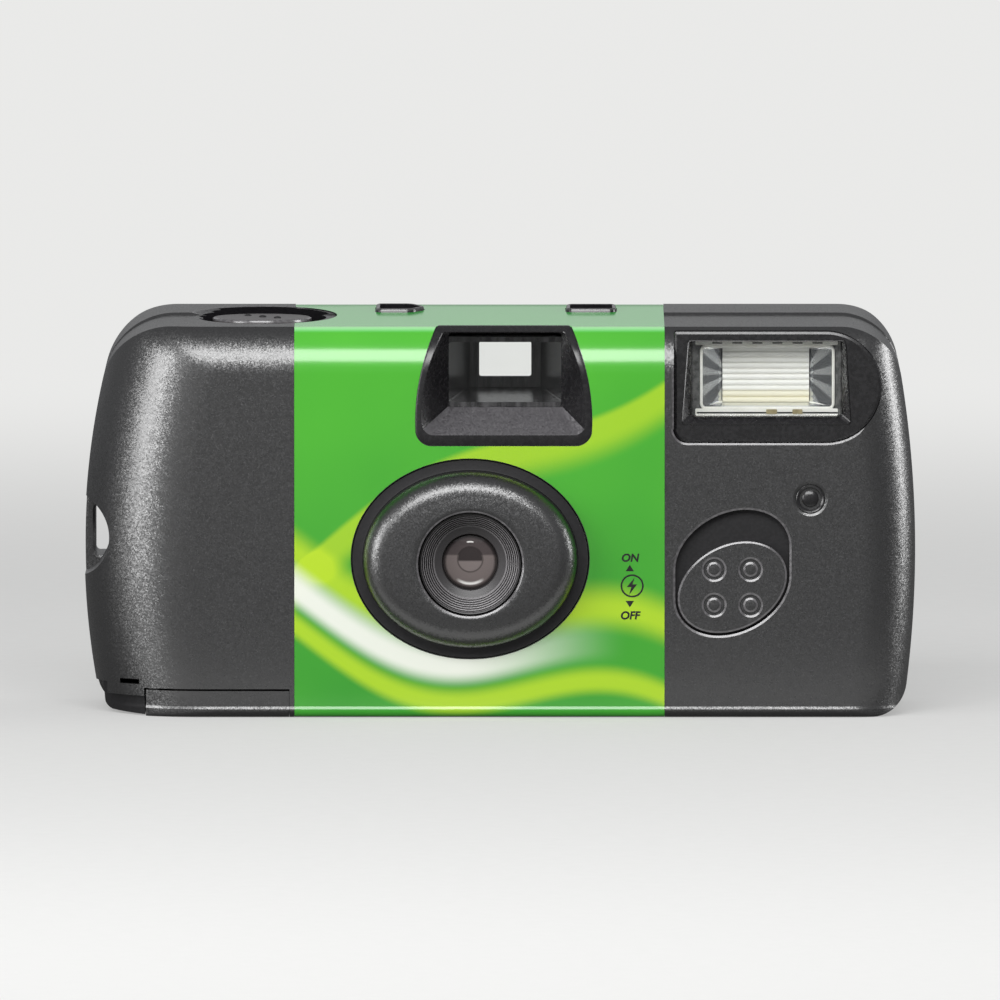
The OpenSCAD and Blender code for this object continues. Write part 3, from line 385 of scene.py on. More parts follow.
charcoal = sparked("grained charcoal plastic", (8, 8, 9), (15, 14, 16), 0.32, 0.13, 0.08)
stippled = sparked("stippled black plastic", (58, 56, 59), (92, 90, 93), 0.38, 0.18, 0.16)
smooth_black = moulded("smooth black plastic", (22, 21, 23), (29, 28, 30), 0.26, 0.5, 0.004)
matte_black = moulded("matte black plastic", (20, 19, 21), (28, 27, 29), 0.6, 0.4, 0.012, 0.4)
# The button top is a lighter grey than the case: a painted reflection of the light its top catches at a slant.
cap_grey_sheen = moulded("button top lightened for its reflection", (62, 58, 59), (78, 74, 75), 0.34, 0.3, 0.01, 0.5)
# Window frames lightened to show their lit edges: a painted highlight.
frame_highlight_grey = moulded("window frame with painted highlight", (52, 50, 52), (70, 68, 70), 0.22, 0.5, 0.004, 1.0)
panel_black = moulded("satin black panel", (18, 17, 19), (25, 24, 26), 0.27, 0.4, 0.008, 0.8)
# Rims and bevels lightened to show the light they catch: a painted highlight.
rim_highlight_grey = moulded("rim with painted highlight", (82, 80, 82), (106, 104, 106), 0.22, 0.5, 0.002, 1.0)
# Low-gloss black laid where shade falls in hollows: painted shade.
shade_black = moulded("black for painted shade", (22, 21, 23), (28, 27, 29), 0.7, 0.4, 0.004, 0.0)


def see_through(name, tint, rough, mirror=0.9):
    """A clear part: light passes straight on, and the skin mirrors the room."""
    f = Finish(name)
    pane = f.node("ShaderNodeBsdfTransparent", {"Color": (*tint, 1.0)})
    skin = f.node("ShaderNodeBsdfGlossy", {"Color": (1, 1, 1, 1), "Roughness": rough})
    share = f.node("ShaderNodeFresnel", {"IOR": 1.45})
    haze = f.ramp(f.noise(3.0), 0.4, 0.8)
    return f.mixed_surface(share * mirror + haze * 0.008, pane, skin)


def mottled(name, dark, light, size, rough, metal=0.0, depth=0.004):
    """A plain finish with the slight unevenness that it has on a real part."""
    f = Finish(name, Metallic=metal)
    spots = f.noise(size, 3.0)
    return f.textured(spots, f.ramp(spots, 0.3, 0.7), dark, light, (rough - 0.05, 0.1), depth)


def streaked(name, dark, light, scales, detail, rough, depth, metal=0.0):
    """A finish with soft lines drawn out along one axis."""
    f = Finish(name, Metallic=metal)
    drawn = {i: wire * k for i, (wire, k) in enumerate(zip(f.xyz(), scales))}
    lines = f.noise(1.0, detail, f.node("ShaderNodeCombineXYZ", drawn))
    tone = lines if metal else f.ramp(lines, 0.35, 0.68)
    return f.textured(lines, tone, dark, light, rough, depth)


def rib_cream():
    """Near-white plastic that turns to cream on the lowest ribs."""
    f = Finish("cream ribs")
    spots = f.noise(2.0, 3.0)
    low = 1 - f.ramp(f.xyz()[2], 41.6, 42.6)
    base = f.mix(spots, (248, 247, 242), (255, 254, 251))
    return f.textured(spots, low * 0.8, base, (244, 237, 208), (0.3, 0.1), 0.004)


def fan_mirror(x_middle, z_middle, ribs_end):
    """Bright metal with the ribs' reflection painted at both ends as a fan of pale and dark stripes."""
    f = Finish("bright reflector wall", Metallic=0.8, Roughness=0.16)
    x, y, z = f.xyz()
    out = (x - x_middle).size() - ribs_end
    turn = (z - z_middle).angle(out + 0.4)
    # The fan of stripes is a painted reflection of the ribs.
    painted_rib_reflection = f.ramp((turn * 9.0).sine(), -0.3, 0.5).most(1 - f.ramp(out, 0.1, 0.5))
    f.feed(Base_Color=f.mix(painted_rib_reflection, (150, 152, 156), (240, 242, 244)))
    return f.bump(f.noise(2.0, 3.0), 0.004)


clear = see_through("clear window plastic", (0.99, 0.995, 0.99), 0.04, 0.6)
bright_cream = mottled("cream reflector", (246, 245, 238), (254, 253, 249), 2.0, 0.35)
ribs_finish, reflector_white = rib_cream(), fan_mirror(34.6, 44.2, 5.2)
pale_plastic = mottled("pale plastic", (214, 212, 204), (232, 230, 222), 3.0, 0.5)
smoked = mottled("smoked edge of the window", (66, 66, 66), (112, 112, 112), 0.8, 0.25)
beige_clip = mottled("beige clip", (140, 128, 92), (168, 156, 118), 0.6, 0.5)
ink = mottled("black ink", (22, 22, 22), (34, 34, 34), 0.4, 0.35, depth=0.001)
tube_grey = streaked("streaked finder wall", (40, 39, 41), (88, 86, 89),
                     (0.9, 0.12, 0.1), 3.0, (0.18, 0.1), 0.05)
print(len(bpy.data.materials), "materials so far")

# %% [markdown]
# ## Copies made by nodes
# Ridges round the wheel, rings round the lens, ribs behind the flash and studs on the switch are
# one small shape repeated. Two geometry trees do all of them: copies in a row, each one a step on
# and, if wanted, a little larger, and copies in a ring. Both end as plain mesh with a finish.

# %% A row of copies and a ring of copies
def copy_tree(name, points, **inputs):
    """A tree that sets the incoming shape on points; points() returns their wires from the inputs."""
    tree = bpy.data.node_groups.new(name, "GeometryNodeTree")
    inputs = {"Shape": "Geometry", **inputs}
    for key, kind in inputs.items():
        tree.interface.new_socket(key, in_out="INPUT", socket_type="NodeSocket" + kind)
    tree.interface.new_socket("Copies", in_out="OUTPUT", socket_type="NodeSocketGeometry")
    web = Web(tree)
    wires = dict(zip(inputs, web.node("NodeGroupInput", out=tuple(inputs))))
    cloud, turn, size = points(web, wires, web.node("GeometryNodeInputIndex"))
    placed = web.node("GeometryNodeInstanceOnPoints", {"Points": cloud, "Instance": wires["Shape"],
                                                       "Rotation": turn, "Scale": size})
    real = web.node("GeometryNodeRealizeInstances", {"Geometry": placed})
    done = web.node("GeometryNodeSetMaterial", {"Geometry": real, "Material": wires["Finish"]})
    web.node("NodeGroupOutput", {"Copies": done})
    return tree


def in_a_row(web, wires, index):
    size = 1.0 + index * wires["Growth"]
    along = {"Count": wires["Count"], "Offset": wires["Step"]}
    line = web.node("GeometryNodeMeshLine", along, mode="OFFSET")
    return line, (0, 0, 0), web.node("ShaderNodeCombineXYZ", {0: size, 1: size, 2: size})


def in_a_ring(web, wires, index):
    points = web.node("GeometryNodeMeshCircle", {"Vertices": wires["Count"], "Radius": wires["Radius"]})
    turn = web.node("ShaderNodeCombineXYZ", {2: index * (2 * pi) / wires["Count"]})
    return points, turn, (1, 1, 1)


row_tree = copy_tree("row of copies", in_a_row, Count="Int", Step="Vector", Growth="Float", Finish="Material")
ring_tree = copy_tree("ring of copies", in_a_ring, Count="Int", Radius="Float", Finish="Material")


def repeat(piece, tree, **values):
    """Runs a copy tree on a piece and keeps the result as a plain mesh."""
    work = piece.modifiers.new("copies", "NODES")
    work.node_group = tree
    for item in tree.interface.items_tree:
        if item.in_out == "INPUT" and item.name in values:
            work[item.identifier] = values[item.name]
    return settle(piece)


def row(piece, count, step, finish, growth=0.0):
    """Repeats a piece in a row, a step in millimetres apart."""
    return repeat(piece, row_tree, Count=count, Step=[c * MM for c in step], Growth=growth, Finish=finish)


def moved(piece, x, y, z):
    """Moves a piece's mesh, in millimetres; the object itself stays at the origin."""
    piece.data.transform(Matrix.Translation((x * MM, y * MM, z * MM)))
    return piece


print("two copy trees:", row_tree.name, "and", ring_tree.name)

# %% [markdown]
# ## The form of the case
# Seen from the front the case is a wide loaf with bulging ends. Its front falls away to the left in
# a deep grip, to the right in a tighter round, and rolls back to a crease before the top. A stack of
# cut solids would show facets on those rounds, so front and back are fields of depth over a grid
# that follows the ends, crossed with the loaf outline.

# %% Sizes of the case
WIDE, TALL = 108.0, 52.0
Y_FRONT, Y_SEAM, Y_BACK = -12.6, 5.4, 16.8
END_LEFT, END_RIGHT, WAIST = 100.0, 140.0, 21.5
GRIP, RIGHT_EDGE, BACK_EDGE = (14.5, 13.0), (7.0, 6.5), 4.0
ROLL_R, ROLL_Z, FOOT, BACK_TOP, WALL = 7.8, 44.613, 0.9, 2.5, 1.2
LIP, LIP_LOW, LIP_HIGH = 0.1, 1.05, 1.4
CREASE_Y, TOP_FALL, TOP_RUN = -9.8, 1.4, 26.6
CORNERS_TOP, CORNER_FOOT = (9.5, 8.0), 4.5
OUT = -20.0
LABEL = (-26.6, 21.4)


def top_at(y):
    """Height of the top, which falls a little towards the front."""
    return TALL - TOP_FALL * (Y_BACK - y) / TOP_RUN


def loaf(height, inset):
    """The front outline of the case at one height, drawn in by an inset; always the same point count."""
    def corner(side, end, r, edge, up):
        r, big, middle = r - inset, end - inset, side * (WIDE / 2 - end)
        z = edge - up * r
        x = middle + side * sqrt((big - r) ** 2 - (z - WAIST) ** 2)
        return x, z, r, atan2(z - WAIST, x - middle), middle, big
    low, high = inset, height - inset
    br, tr = corner(1, END_RIGHT, CORNER_FOOT, low, -1), corner(1, END_RIGHT, CORNERS_TOP[1], high, 1)
    tl, bl = corner(-1, END_LEFT, CORNERS_TOP[0], high, 1), corner(-1, END_LEFT, CORNER_FOOT, low, -1)
    turn = bl[3] + 2 * pi
    return (arc(*br[:3], -pi / 2, br[3], 12) + arc(br[4], WAIST, br[5], br[3], tr[3], 32)[1:-1]
            + arc(*tr[:3], tr[3], pi / 2, 20) + arc(*tl[:3], pi / 2, tl[3], 22)
            + arc(tl[4], WAIST, tl[5], tl[3], turn, 32)[1:-1] + arc(*bl[:3], turn, 3 * pi / 2, 12))


def x_left(z):
    return END_LEFT - WIDE / 2 - np.sqrt(END_LEFT ** 2 - (z - WAIST) ** 2)


def x_right(z):
    return WIDE / 2 - END_RIGHT + np.sqrt(END_RIGHT ** 2 - (z - WAIST) ** 2)


def fall(u, wide, deep):
    """How far a rounded edge has fallen back at a distance u from it."""
    t = np.clip(1 - u / wide, 0, 1) * 0.985
    return deep * (1 - np.sqrt(1 - t * t))


def foot_fall(z, i):
    """How far the rounded foot has fallen back, drawn in by an inset."""
    return fall(z - i, max(FOOT - i, 0.15), max(FOOT - i, 0.15))


def front_y(x, z, i=0.0):
    """Depth of the front, drawn in by an inset: the grip, the right edge, the foot and the roll together."""
    left = fall(x - x_left(z) - i, GRIP[0] - i, GRIP[1] - i)
    right = fall(x_right(z) - x - i, RIGHT_EDGE[0] - i, RIGHT_EDGE[1] - i)
    up, r = np.clip(z - ROLL_Z, 0, None), ROLL_R - i
    roll = r - np.sqrt(r * r - np.minimum(up, 0.995 * r) ** 2)
    lip = LIP * np.clip((LIP_HIGH - z) / (LIP_HIGH - LIP_LOW), 0, 1)
    return Y_FRONT - lip + i + np.sqrt(left ** 2 + right ** 2 + foot_fall(z, i) ** 2 + roll ** 2)


def back_y(x, z, i=0.0):
    """Depth of the back at a point, drawn in by an inset."""
    sides = [fall(u - i, r - i, r - i) for u, r in
             ((x - x_left(z), BACK_EDGE), (x_right(z) - x, BACK_EDGE), (TALL - z, BACK_TOP))]
    return Y_BACK - i - np.sqrt(sum(s ** 2 for s in sides) + foot_fall(z, i) ** 2)


depths = [round(float(front_y(x, 20.0)), 2) for x in (0.0, -50.0)]
print("depth of the front at the middle and at the grip", depths)

# %% The whole closed form, drawn in by any inset
def easing(size, a0, a1, n):
    """Places that crowd together where a rounded edge turns fastest."""
    return [size * (1 - sin(a)) for a in np.linspace(a0, a1, n)]


def case_solid(name, inset, drop=0.0, outline=None):
    """Front field and back field closed into a block, crossed with the loaf outline or another.

    A drop lowers the top at the seam, where the front cover meets the rear cover's rim."""
    near = np.r_[-1.6, -0.5, easing(GRIP[0], pi / 2, 0, 26)]
    far = np.r_[easing(RIGHT_EDGE[0], 0, pi / 2, 20), -0.5, -1.6]
    roll = [ROLL_Z + ROLL_R * sin(a) for a in np.linspace(0, radians(57), 18)]
    rows = np.r_[-1.5, -0.5, easing(FOOT, pi / 2, 0, 11), LIP_LOW, 1.15, 1.38, 1.5,
                 np.linspace(2.4, 43.6, 36), roll, 51.5, 51.85, 52.2, 53.5]
    zs = rows[:, None]
    x0, x1 = x_left(zs), x_right(zs)
    middle = np.linspace(0, 1, 26)[1:-1][None, :]
    a, b = x0 + GRIP[0], x1 - RIGHT_EDGE[0]
    xs = np.concatenate([x0 + near[None, :], a + (b - a) * middle, x1 - far[None, :]], axis=1)
    zz = np.broadcast_to(zs, xs.shape)
    h, w = xs.shape
    points = [p for ys in (front_y(xs, zz, inset), back_y(xs, zz, inset))
              for p in np.stack([xs, ys, zz], axis=2).reshape(-1, 3).tolist()]
    cell = [[r * w + c, r * w + c + 1, (r + 1) * w + c + 1, (r + 1) * w + c]
            for r in range(h - 1) for c in range(w - 1)]
    rim = ([c for c in range(w)] + [r * w + w - 1 for r in range(1, h)]
           + [(h - 1) * w + c for c in range(w - 2, -1, -1)] + [r * w for r in range(h - 2, 0, -1)])
    band = [[rim[i - 1], rim[i], rim[i] + h * w, rim[i - 1] + h * w] for i in range(len(rim))]
    block = piece_from(name, points, cell + [[v + h * w for v in q[::-1]] for q in cell] + band)
    if outline is None:
        ends = (OUT, 24.0)
        low = [top_at(y) - drop * (y - CREASE_Y) / (Y_SEAM - CREASE_Y) for y in ends]
        outline = loft("loaf", [at_depth(loaf(top, inset), y) for top, y in zip(low, ends)])
    return carve(block, outline, how="INTERSECT")


STEP = 0.34
form, core = case_solid("form", 0.0), case_solid("core", WALL)
shell = carve(again(form, "shell"), again(core, "hollow"))
front_shell = carve(case_solid("front_shell", 0.0, STEP), core)
print("shell", len(shell.data.polygons), "faces")

# %% [markdown]
# ## The viewfinder's funnel and the other openings, as rings
# These rings are shared: the cover is cut by a ring, and the piece that sits in the hole is built
# from the same ring. The funnel's mouth has bowed sides and follows the roll of the front.

# %% Rings of the openings
FINDER_X = 0.55
LENS_X, LENS_Z, MOUNT_Z = -3.8, 20.2, 20.6
PORT = (40.3, Y_FRONT, 28.4)
SWITCH_X, SWITCH_Z, TRAVEL = 30.2, 16.9, 3.8


def bowed(ring, low, high, x, by):
    """Bulges a ring's sides outwards between two heights."""
    shares = [(b - low) / (high - low) for a, b in ring]
    return [(a + by * 4 * s * (1 - s) * np.clip((a - x) / 6, -1, 1), b) for (a, b), s in zip(ring, shares)]


def finder_ring(side, low, top, r, lean=2.55, bow=1.1):
    """A ring of the funnel: bottom corners rounded, sides leaning in towards the top."""
    base = [(-side, low), (side, low), (side - lean, top), (-side + lean, top)]
    ring = rounded([(FINDER_X + a, b) for a, b in base], [r, r, 0.35, 0.35])
    dense = []
    for i, p in enumerate(ring):
        q = ring[(i + 1) % len(ring)]
        steps = 14 if sqrt((q[0] - p[0]) ** 2 + (q[1] - p[1]) ** 2) > 4 else 1
        dense += [(p[0] + (q[0] - p[0]) * k / steps, p[1] + (q[1] - p[1]) * k / steps) for k in range(steps)]
    return bowed(dense, low, top, FINDER_X, bow)


def switch_slot(grow):
    """The oval knob swept up by its travel: the upper half from the raised place, the lower from rest."""
    n = 96
    low, high = (oval(SWITCH_X, z, 7.5 + grow, 5.5 + grow, 28, n) for z in (SWITCH_Z, SWITCH_Z + TRAVEL))
    left = min(range(n), key=lambda i: low[i][0])
    right = max(range(n), key=lambda i: low[i][0])
    span = lambda ring, a, b: [ring[i % n] for i in range(a, b + 1 if b >= a else b + n + 1)]
    return span(high, right, left) + span(low, left, right)


mouth = finder_ring(11.2, 35.35, 50.72, 1.5)
mount_seat = oval(LENS_X, MOUNT_Z, 15.4, 12.95)
panel = ([(22.6, 37.45)] + arc(24.35, 37.5, 1.85, pi, 1.5 * pi, 9)
         + arc(42.3, 42.9, 7.25, -pi / 2, pi / 2, 40) + arc(23.0, 49.75, 0.4, pi / 2, pi, 5))
bezel = rounded([(23.6, 38.0), (45.6, 38.0), (44.9, 48.98), (24.45, 48.98)], 0.5)
pane = rectangle(25.0, 44.3, 39.05, 48.9, 0.4)
print("mouth", len(mouth), "points, switch slot", len(switch_slot(0.3)), "points")

# %% [markdown]
# ## The printed band's side profile
# The label is a strip wrapped once round the straight middle of the case. Its profile is the case's
# own side profile. It could be shrink-wrapped on, but drawing the profile gives its fold a true edge.

# %% The side profile and the band
def side_profile(i):
    """Depth and height pairs round the case's straight middle, drawn in by an inset."""
    foot = max(FOOT - i, 0.2)
    rise = arc(Y_FRONT + ROLL_R, ROLL_Z, ROLL_R - i, pi, radians(131.5), 18)
    tip = rise[-1]
    line = [(y, top_at(y) - i) for y in np.linspace(tip[0] + 0.45, Y_BACK - BACK_TOP, 8)]
    bend = (tip[0] + 0.1, line[0][1] - 0.02)
    fold = [tuple((1 - t) ** 2 * a + 2 * t * (1 - t) * b + t * t * c for a, b, c in zip(tip, bend, line[0]))
            for t in (0.25, 0.5, 0.75)]
    lip = [(Y_FRONT - LIP + i, LIP_LOW), (Y_FRONT + i, LIP_HIGH)]
    return (arc(Y_FRONT - LIP + i + foot, i + foot, foot, 1.5 * pi, pi, 11) + lip + rise + fold + line
            + arc(Y_BACK - BACK_TOP, top_at(Y_BACK - BACK_TOP) - BACK_TOP, BACK_TOP - i, pi / 2 - 0.1, 0, 9)
            + arc(Y_BACK - i - foot, i + foot, foot, 0, -pi / 2, 11))


def band_round(name, x0, x1, outer, inner):
    """A strip round the case between two insets."""
    a, b = side_profile(outer), side_profile(inner)
    rings = [[(x, y, z) for y, z in ring] for x, ring in ((x0, a), (x1, a), (x1, b), (x0, b))]
    return loft(name, rings, closed=True)


def label_bed():
    """The shallow bed in which the label lies."""
    return band_round("bed", LABEL[0] - 0.03, LABEL[1] + 0.03, -1.0, 0.13)


print("profile of", len(side_profile(0.0)), "points")

# %% [markdown]
# ## Front cover
# One thin moulding from the seam forwards. It carries the seat of the lens mount, the viewfinder's
# hole, the sunken flash panel, the switch's slot, the small port, the button's dish, the strap notch
# and the cut for the film door. The rims of panel, slot and port flare by 0.3 millimetres, because
# that thin bevel is what catches the light in the photo.

# %% Cut the front cover
BUTTON_X, BUTTON_Y, BUTTON_R = -30.9, 3.0, 6.5
DISH_R, DISH_DEEP, DISH_LEAN = 9.6, 1.15, 0.045
DISH_LOW = top_at(BUTTON_Y) - DISH_DEEP
DISH_BALL = (DISH_R ** 2 + DISH_DEEP ** 2) / (2 * DISH_DEEP)
STRAP_NOTCH = (-56.45, 23.0)


def seam_groove():
    """A shallow V all round at the seam."""
    inside = loft("inside", [at_depth(loaf(top_at(Y_SEAM), i), Y_SEAM + d) for d, i in
                             ((-0.4, -0.06), (-0.05, 0.3), (0.05, 0.3), (0.4, -0.06))])
    return carve(box(-70, 70, Y_SEAM - 0.32, Y_SEAM + 0.32, -10, 62), inside)


def dish_height(x, y):
    """Height of the dish's floor at a point of the top."""
    r2 = (x - BUTTON_X) ** 2 + (y - BUTTON_Y) ** 2
    return DISH_LOW + DISH_BALL - sqrt(DISH_BALL ** 2 - min(r2, 120.0)) + DISH_LEAN * (y - BUTTON_Y)


def dish():
    """The shallow hollow round the button: a slice of a large ball that leans a little."""
    bowl = [(DISH_BALL * sin(a), DISH_LOW + DISH_BALL * (1 - cos(a))) for a in np.linspace(0.002, 0.27, 18)]
    over = (bowl[-1][0] + 0.3, bowl[-1][1] + 3)
    hollow = turned("dish", [(0.02, DISH_LOW)] + bowl + [over], BUTTON_X, BUTTON_Y, 0, "Z")
    lean = Matrix.Identity(4)
    lean[2][1], lean[2][3] = DISH_LEAN, -DISH_LEAN * BUTTON_Y * MM
    hollow.data.transform(lean)
    return hollow


def shaft():
    """The round hole in which the button slides."""
    return turned("shaft", [(BUTTON_R + 0.16, 40), (BUTTON_R + 0.16, 60)], BUTTON_X, BUTTON_Y, 0, "Z")


def film_door_room(grow, at_hinge):
    """The block that the film door fills, grown by its gaps."""
    return box(-45.9 - grow, -27.3 + at_hinge, -30, 15.4 + grow, -5, 3.4 + grow)


def from_button(c):
    return sqrt((c.x - BUTTON_X) ** 2 + (c.y - BUTTON_Y) ** 2)


def paint_dish_light(cover):
    """Paints shade on the hollow round the button as a dull black floor, widening towards the right, and a
    painted highlight on its rim.
    """
    def on_bowl(c, n):
        curved = abs(n.x) + abs(n.y + 0.0526) > 0.06
        return curved and from_button(c) < 11.4 and abs(dish_height(c.x, c.y) - c.z) < 0.05 and n.z > 0.5

    def in_shade(c, n):
        return on_bowl(c, n) and from_button(c) < 8.0 + 0.5 * max(0.0, c.x - BUTTON_X + 8.0)

    # The dish's rim gets a painted highlight.
    def on_lit_dish_rim(c, n):
        return on_bowl(c, n) and abs(dish_height(c.x, c.y) - top_at(c.y)) < 0.1

    second_finish(cover, shade_black, in_shade)
    second_finish(cover, rim_highlight_grey, on_lit_dish_rim)


def bevel_highlight(c, n):
    """The thin bevels of the flash panel and the switch's slot, without the port's; they get a painted
    highlight.
    """
    by_port = c.x > 37 and 25 < c.z < 32
    return (-0.97 < n.y < -0.8 and c.y < Y_FRONT + 0.14 and 21.5 < c.x < 44.5 and 9 < c.z < 44) and not by_port


front = carve(again(front_shell, "front_cover_moulding"), box(-70, 70, -30, Y_SEAM, -10, 62), how="INTERSECT")
carve(front, seam_groove(), label_bed(),
    cutter(grown(mount_seat, 0.04), OUT, -5),
    cutter(grown(mouth, 0.03), OUT, -8.85),
    cutter(finder_ring(11.2, 35.35, 49.85, 1.5, 2.41), -9.2, -6),
    plug("panel", panel, (OUT, 0.34), (Y_FRONT - 0.02, 0.3), (Y_FRONT + 0.11, 0.0), (-7.5, 0)),
    plug("slot", switch_slot(0.3), (OUT, 0.3), (Y_FRONT - 0.01, 0.3), (Y_FRONT + 0.11, 0.0), (-10, 0)),
    turned("port", [(2.25, -8), (2.25, 0), (1.95, 0.11), (1.95, 0.75), (0.02, 0.75)], *PORT),
    dish(), shaft())
pocket = carve(again(form, "pocket"), cutter(oval(*STRAP_NOTCH, 6.5, 6.5), OUT, Y_SEAM - 0.05), how="INTERSECT")
carve(front, pocket, how="UNION")
latch_slot = box(-49.3, -46.8, OUT, -6, 4.1, 4.75)
carve(front, cutter(oval(*STRAP_NOTCH, 5.75, 5.75), OUT, 12), film_door_room(0.25, 0.05),
    box(-60, -46.0, -30, 10, -5, 2.6), box(-60, -51.0, -30, 10, -5, 4.15), latch_slot)
dress(front, charcoal, CASE, "front_cover", angle=12)
# A painted highlight on the bevels of the flash panel and the switch's slot.
second_finish(front, rim_highlight_grey, bevel_highlight)
# Painted shade in the button's dish and a painted highlight on its rim.
paint_dish_light(front)

# %% [markdown]
# ## Rear cover
# The other half of the case. Its rim shows round both top corners, and its strap bar shows in the
# notch. On the back it has the eyepiece's window and the opening for the thumb wheel.

# %% Cut the rear cover
WHEEL_X, WHEEL_Y, WHEEL_LOW, WHEEL_HIGH = -36.0, 2.8, 41.9, 44.6
EYE_X = 0.75
eye = rectangle(EYE_X - 4.5, EYE_X + 4.5, 41.47, 47.47, 0.5)
thumb = rectangle(WHEEL_X - 9.5, WHEEL_X + 9.5, 41.4, 45.8, 0.8)
strap_hole = rectangle(-52.75, -50.6, 19.7, 26.3, 0.6)
counter_hole = rounded([(-15.6, 6.2), (-11.6, 6.2), (-10.2, 8.7), (-11.6, 11.2), (-15.6, 11.2)],
                       [0.3, 1.2, 1.0, 1.2, 0.3], 5)
lamp_hole = rectangle(9.2, 14.7, 6.4, 10.7, 0.4, 5)
rear = carve(again(shell, "rear_cover_moulding"), box(-70, 70, Y_SEAM, 40, -10, 62), how="INTERSECT")
lug = carve(again(form, "lug"), box(-60, -49.6, Y_SEAM + 0.01, 16.5, 18.6, 27.4), how="INTERSECT")
carve(rear, lug, how="UNION")
carve(rear, seam_groove(),
    plug("strap hole", strap_hole, (0, 0.3), (5.44, 0.3), (5.56, 0), (16.3, 0), (17.6, 0.5)),
    label_bed(), dish(), shaft(), film_door_room(0.25, 0.25),
    plug("eye", eye, (10, 0), (16.0, 0), (17.5, 1.6)),
    plug("thumb", thumb, (10, 0), (15.7, 0), (16.8, 2.0), (17.5, 3.2)))
for hole in (counter_hole, lamp_hole):
    for cover in (rear, front):
        carve(cover, post(hole, (48, 0.54), (60, 0.54)))
dress(rear, charcoal, CASE, "rear_cover", angle=12)
# Painted shade in the button's dish and a painted highlight on its rim.
paint_dish_light(rear)

# %% [markdown]
# ## Set-back corner and film door
# Under the left end the case steps in to a smooth corner, and beside it the film door closes the
# bottom. The door is a slice of the same closed form, so it lines up with the cover all round.

# %% The corner and the door
corner_ring = rounded([(-51.25, 0.45), (-45.97, 0.1), (-46.15, 2.75), (-51.6, 4.3)], [1.2, 0.1, 0.1, 0.1])
corner = case_solid("set_back_corner", 0.85, outline=cutter(corner_ring, OUT, Y_SEAM - 0.2))
# Matte black instead of the grained charcoal, to darken the corner: painted shade.
dress(corner, matte_black, CASE)
door = carve(again(shell, "film_door_moulding"), film_door_room(0.0, 0.0), how="INTERSECT")
carve(door, turned("knuckle", [(0.6, -10.6), (0.6, 15.4)], -27.9, 0.0, 0.6, n=24), how="UNION")
hook = box(-45.1, -44.3, -10.1, -8.2, 1.1, 4.2)
carve(hook, box(-45.5, -45.0, -10.1, -8.2, 3.2, 4.2), how="UNION")
carve(door, hook, how="UNION")
dress(door, charcoal, BLACK, "film_door", body="door", angle=12)

# %% [markdown]
# ## The printed label
# The band is thin glossy film, notched round the button's dish and cut out for the lens, the finder
# and the windows. Its print here is a plain design: wide soft ribbons in white and lime on green.
# The ribbons are formulas of the place on the front, so they need no picture.

# %% The band and its print
NOTCH_R = 9.75
label = band_round("printed_band", *LABEL, 0.0, 0.12)
carve(label, cutter(grown(mount_seat, 0.12), OUT, -8), cutter(grown(mouth, 0.1), OUT, -9.1),
    turned("notch", [(NOTCH_R, 45), (NOTCH_R, 60)], BUTTON_X, BUTTON_Y, 0, "Z"),
    *(post(hole, (45, 0.62), (60, 0.62)) for hole in (counter_hole, lamp_hole)),
    cutter(grown(eye, 1.75), 10, 20))


def print_finish():
    """Green film with soft ribbons on the front, plain on the back; its top is painted a brighter green and its
    fold carries a painted highlight.
    """
    f = Finish("printed label", Roughness=0.22, Coat_Roughness=0.12, Coat_Weight=0.7)
    x, y, z = f.xyz()
    wave = (x * 0.11 - 0.4).sine()
    low = z - 9.0 + x * 0.26 - wave * 4.5
    high = z - 33.0 - x * 0.55 + wave * 3.0
    white = f.band(low, -3.0, -0.6, 0.6, 4.2) * (1 - f.ramp(x, -6.0, 17.0))
    lime = (f.band(low, 1.0, 4.4, 5.0, 9.0) + f.band(low, -7.0, -5.2, -4.4, -2.2)
            + f.band(high, -5.0, -1.0, 1.0, 2.2) * 0.8)
    depth = f.ramp(z, 0.0, 50.0) * 0.5 + f.noise(14.0, 1.0) * 0.5
    green = f.mix(depth, (48, 148, 42), (84, 188, 50))
    front_only = 1 - f.ramp(y, -11.0, -9.0)
    tinted = f.mix(lime * front_only * 0.85, green, (186, 222, 40))
    bright = f.mix(white * front_only * 0.95, tinted, (244, 246, 236))
    # A painted highlight along the fold of the label.
    fold = f.band(y, -10.6, -9.9, -9.5, -8.9) * f.ramp(z, 49.0, 50.2)
    # The top painted a brighter green to make up for the light it lacks: painted light.
    top_painted_lighter = f.mix(f.ramp(z, 49.8, 50.4), bright, (64, 204, 78))
    f.feed(Base_Color=f.mix(fold * 0.45, top_painted_lighter, (214, 232, 206)))
    return f.bump(f.noise(0.5, 1.0), 0.0035)


def notch_edge(c, n):
    return abs(from_button(c) - NOTCH_R) < 0.06 and c.z > 47 and abs(n.z) < 0.5


printed = print_finish()
dress(label, printed, PRINT, "wrap_label", angle=13)
second_finish(label, smooth_black, notch_edge)

# %% [markdown]
# ## Marks beside the switch
# The label says which way the flash switch goes: ON with a triangle up, a circled bolt, a triangle
# down with OFF. They are flat pieces of ink a hundredth of a millimetre thick on the label.

# %% Ink marks
MARK_X, INK_Y = 16.9, (Y_FRONT - 0.012, Y_FRONT + 0.008)


def ink_flat(name, rings):
    """Flat ink through front-view rings, one closed piece."""
    points, faces = [], []
    for ring in rings:
        n, start = len(ring), len(points)
        points += at_depth(ring, INK_Y[0]) + at_depth(ring, INK_Y[1])
        faces += [[start + i for i in range(n)], [start + n + i for i in range(n)][::-1]]
        faces += [[start + i, start + (i + 1) % n, start + n + (i + 1) % n, start + n + i] for i in range(n)]
    return piece_from(name, points, faces)


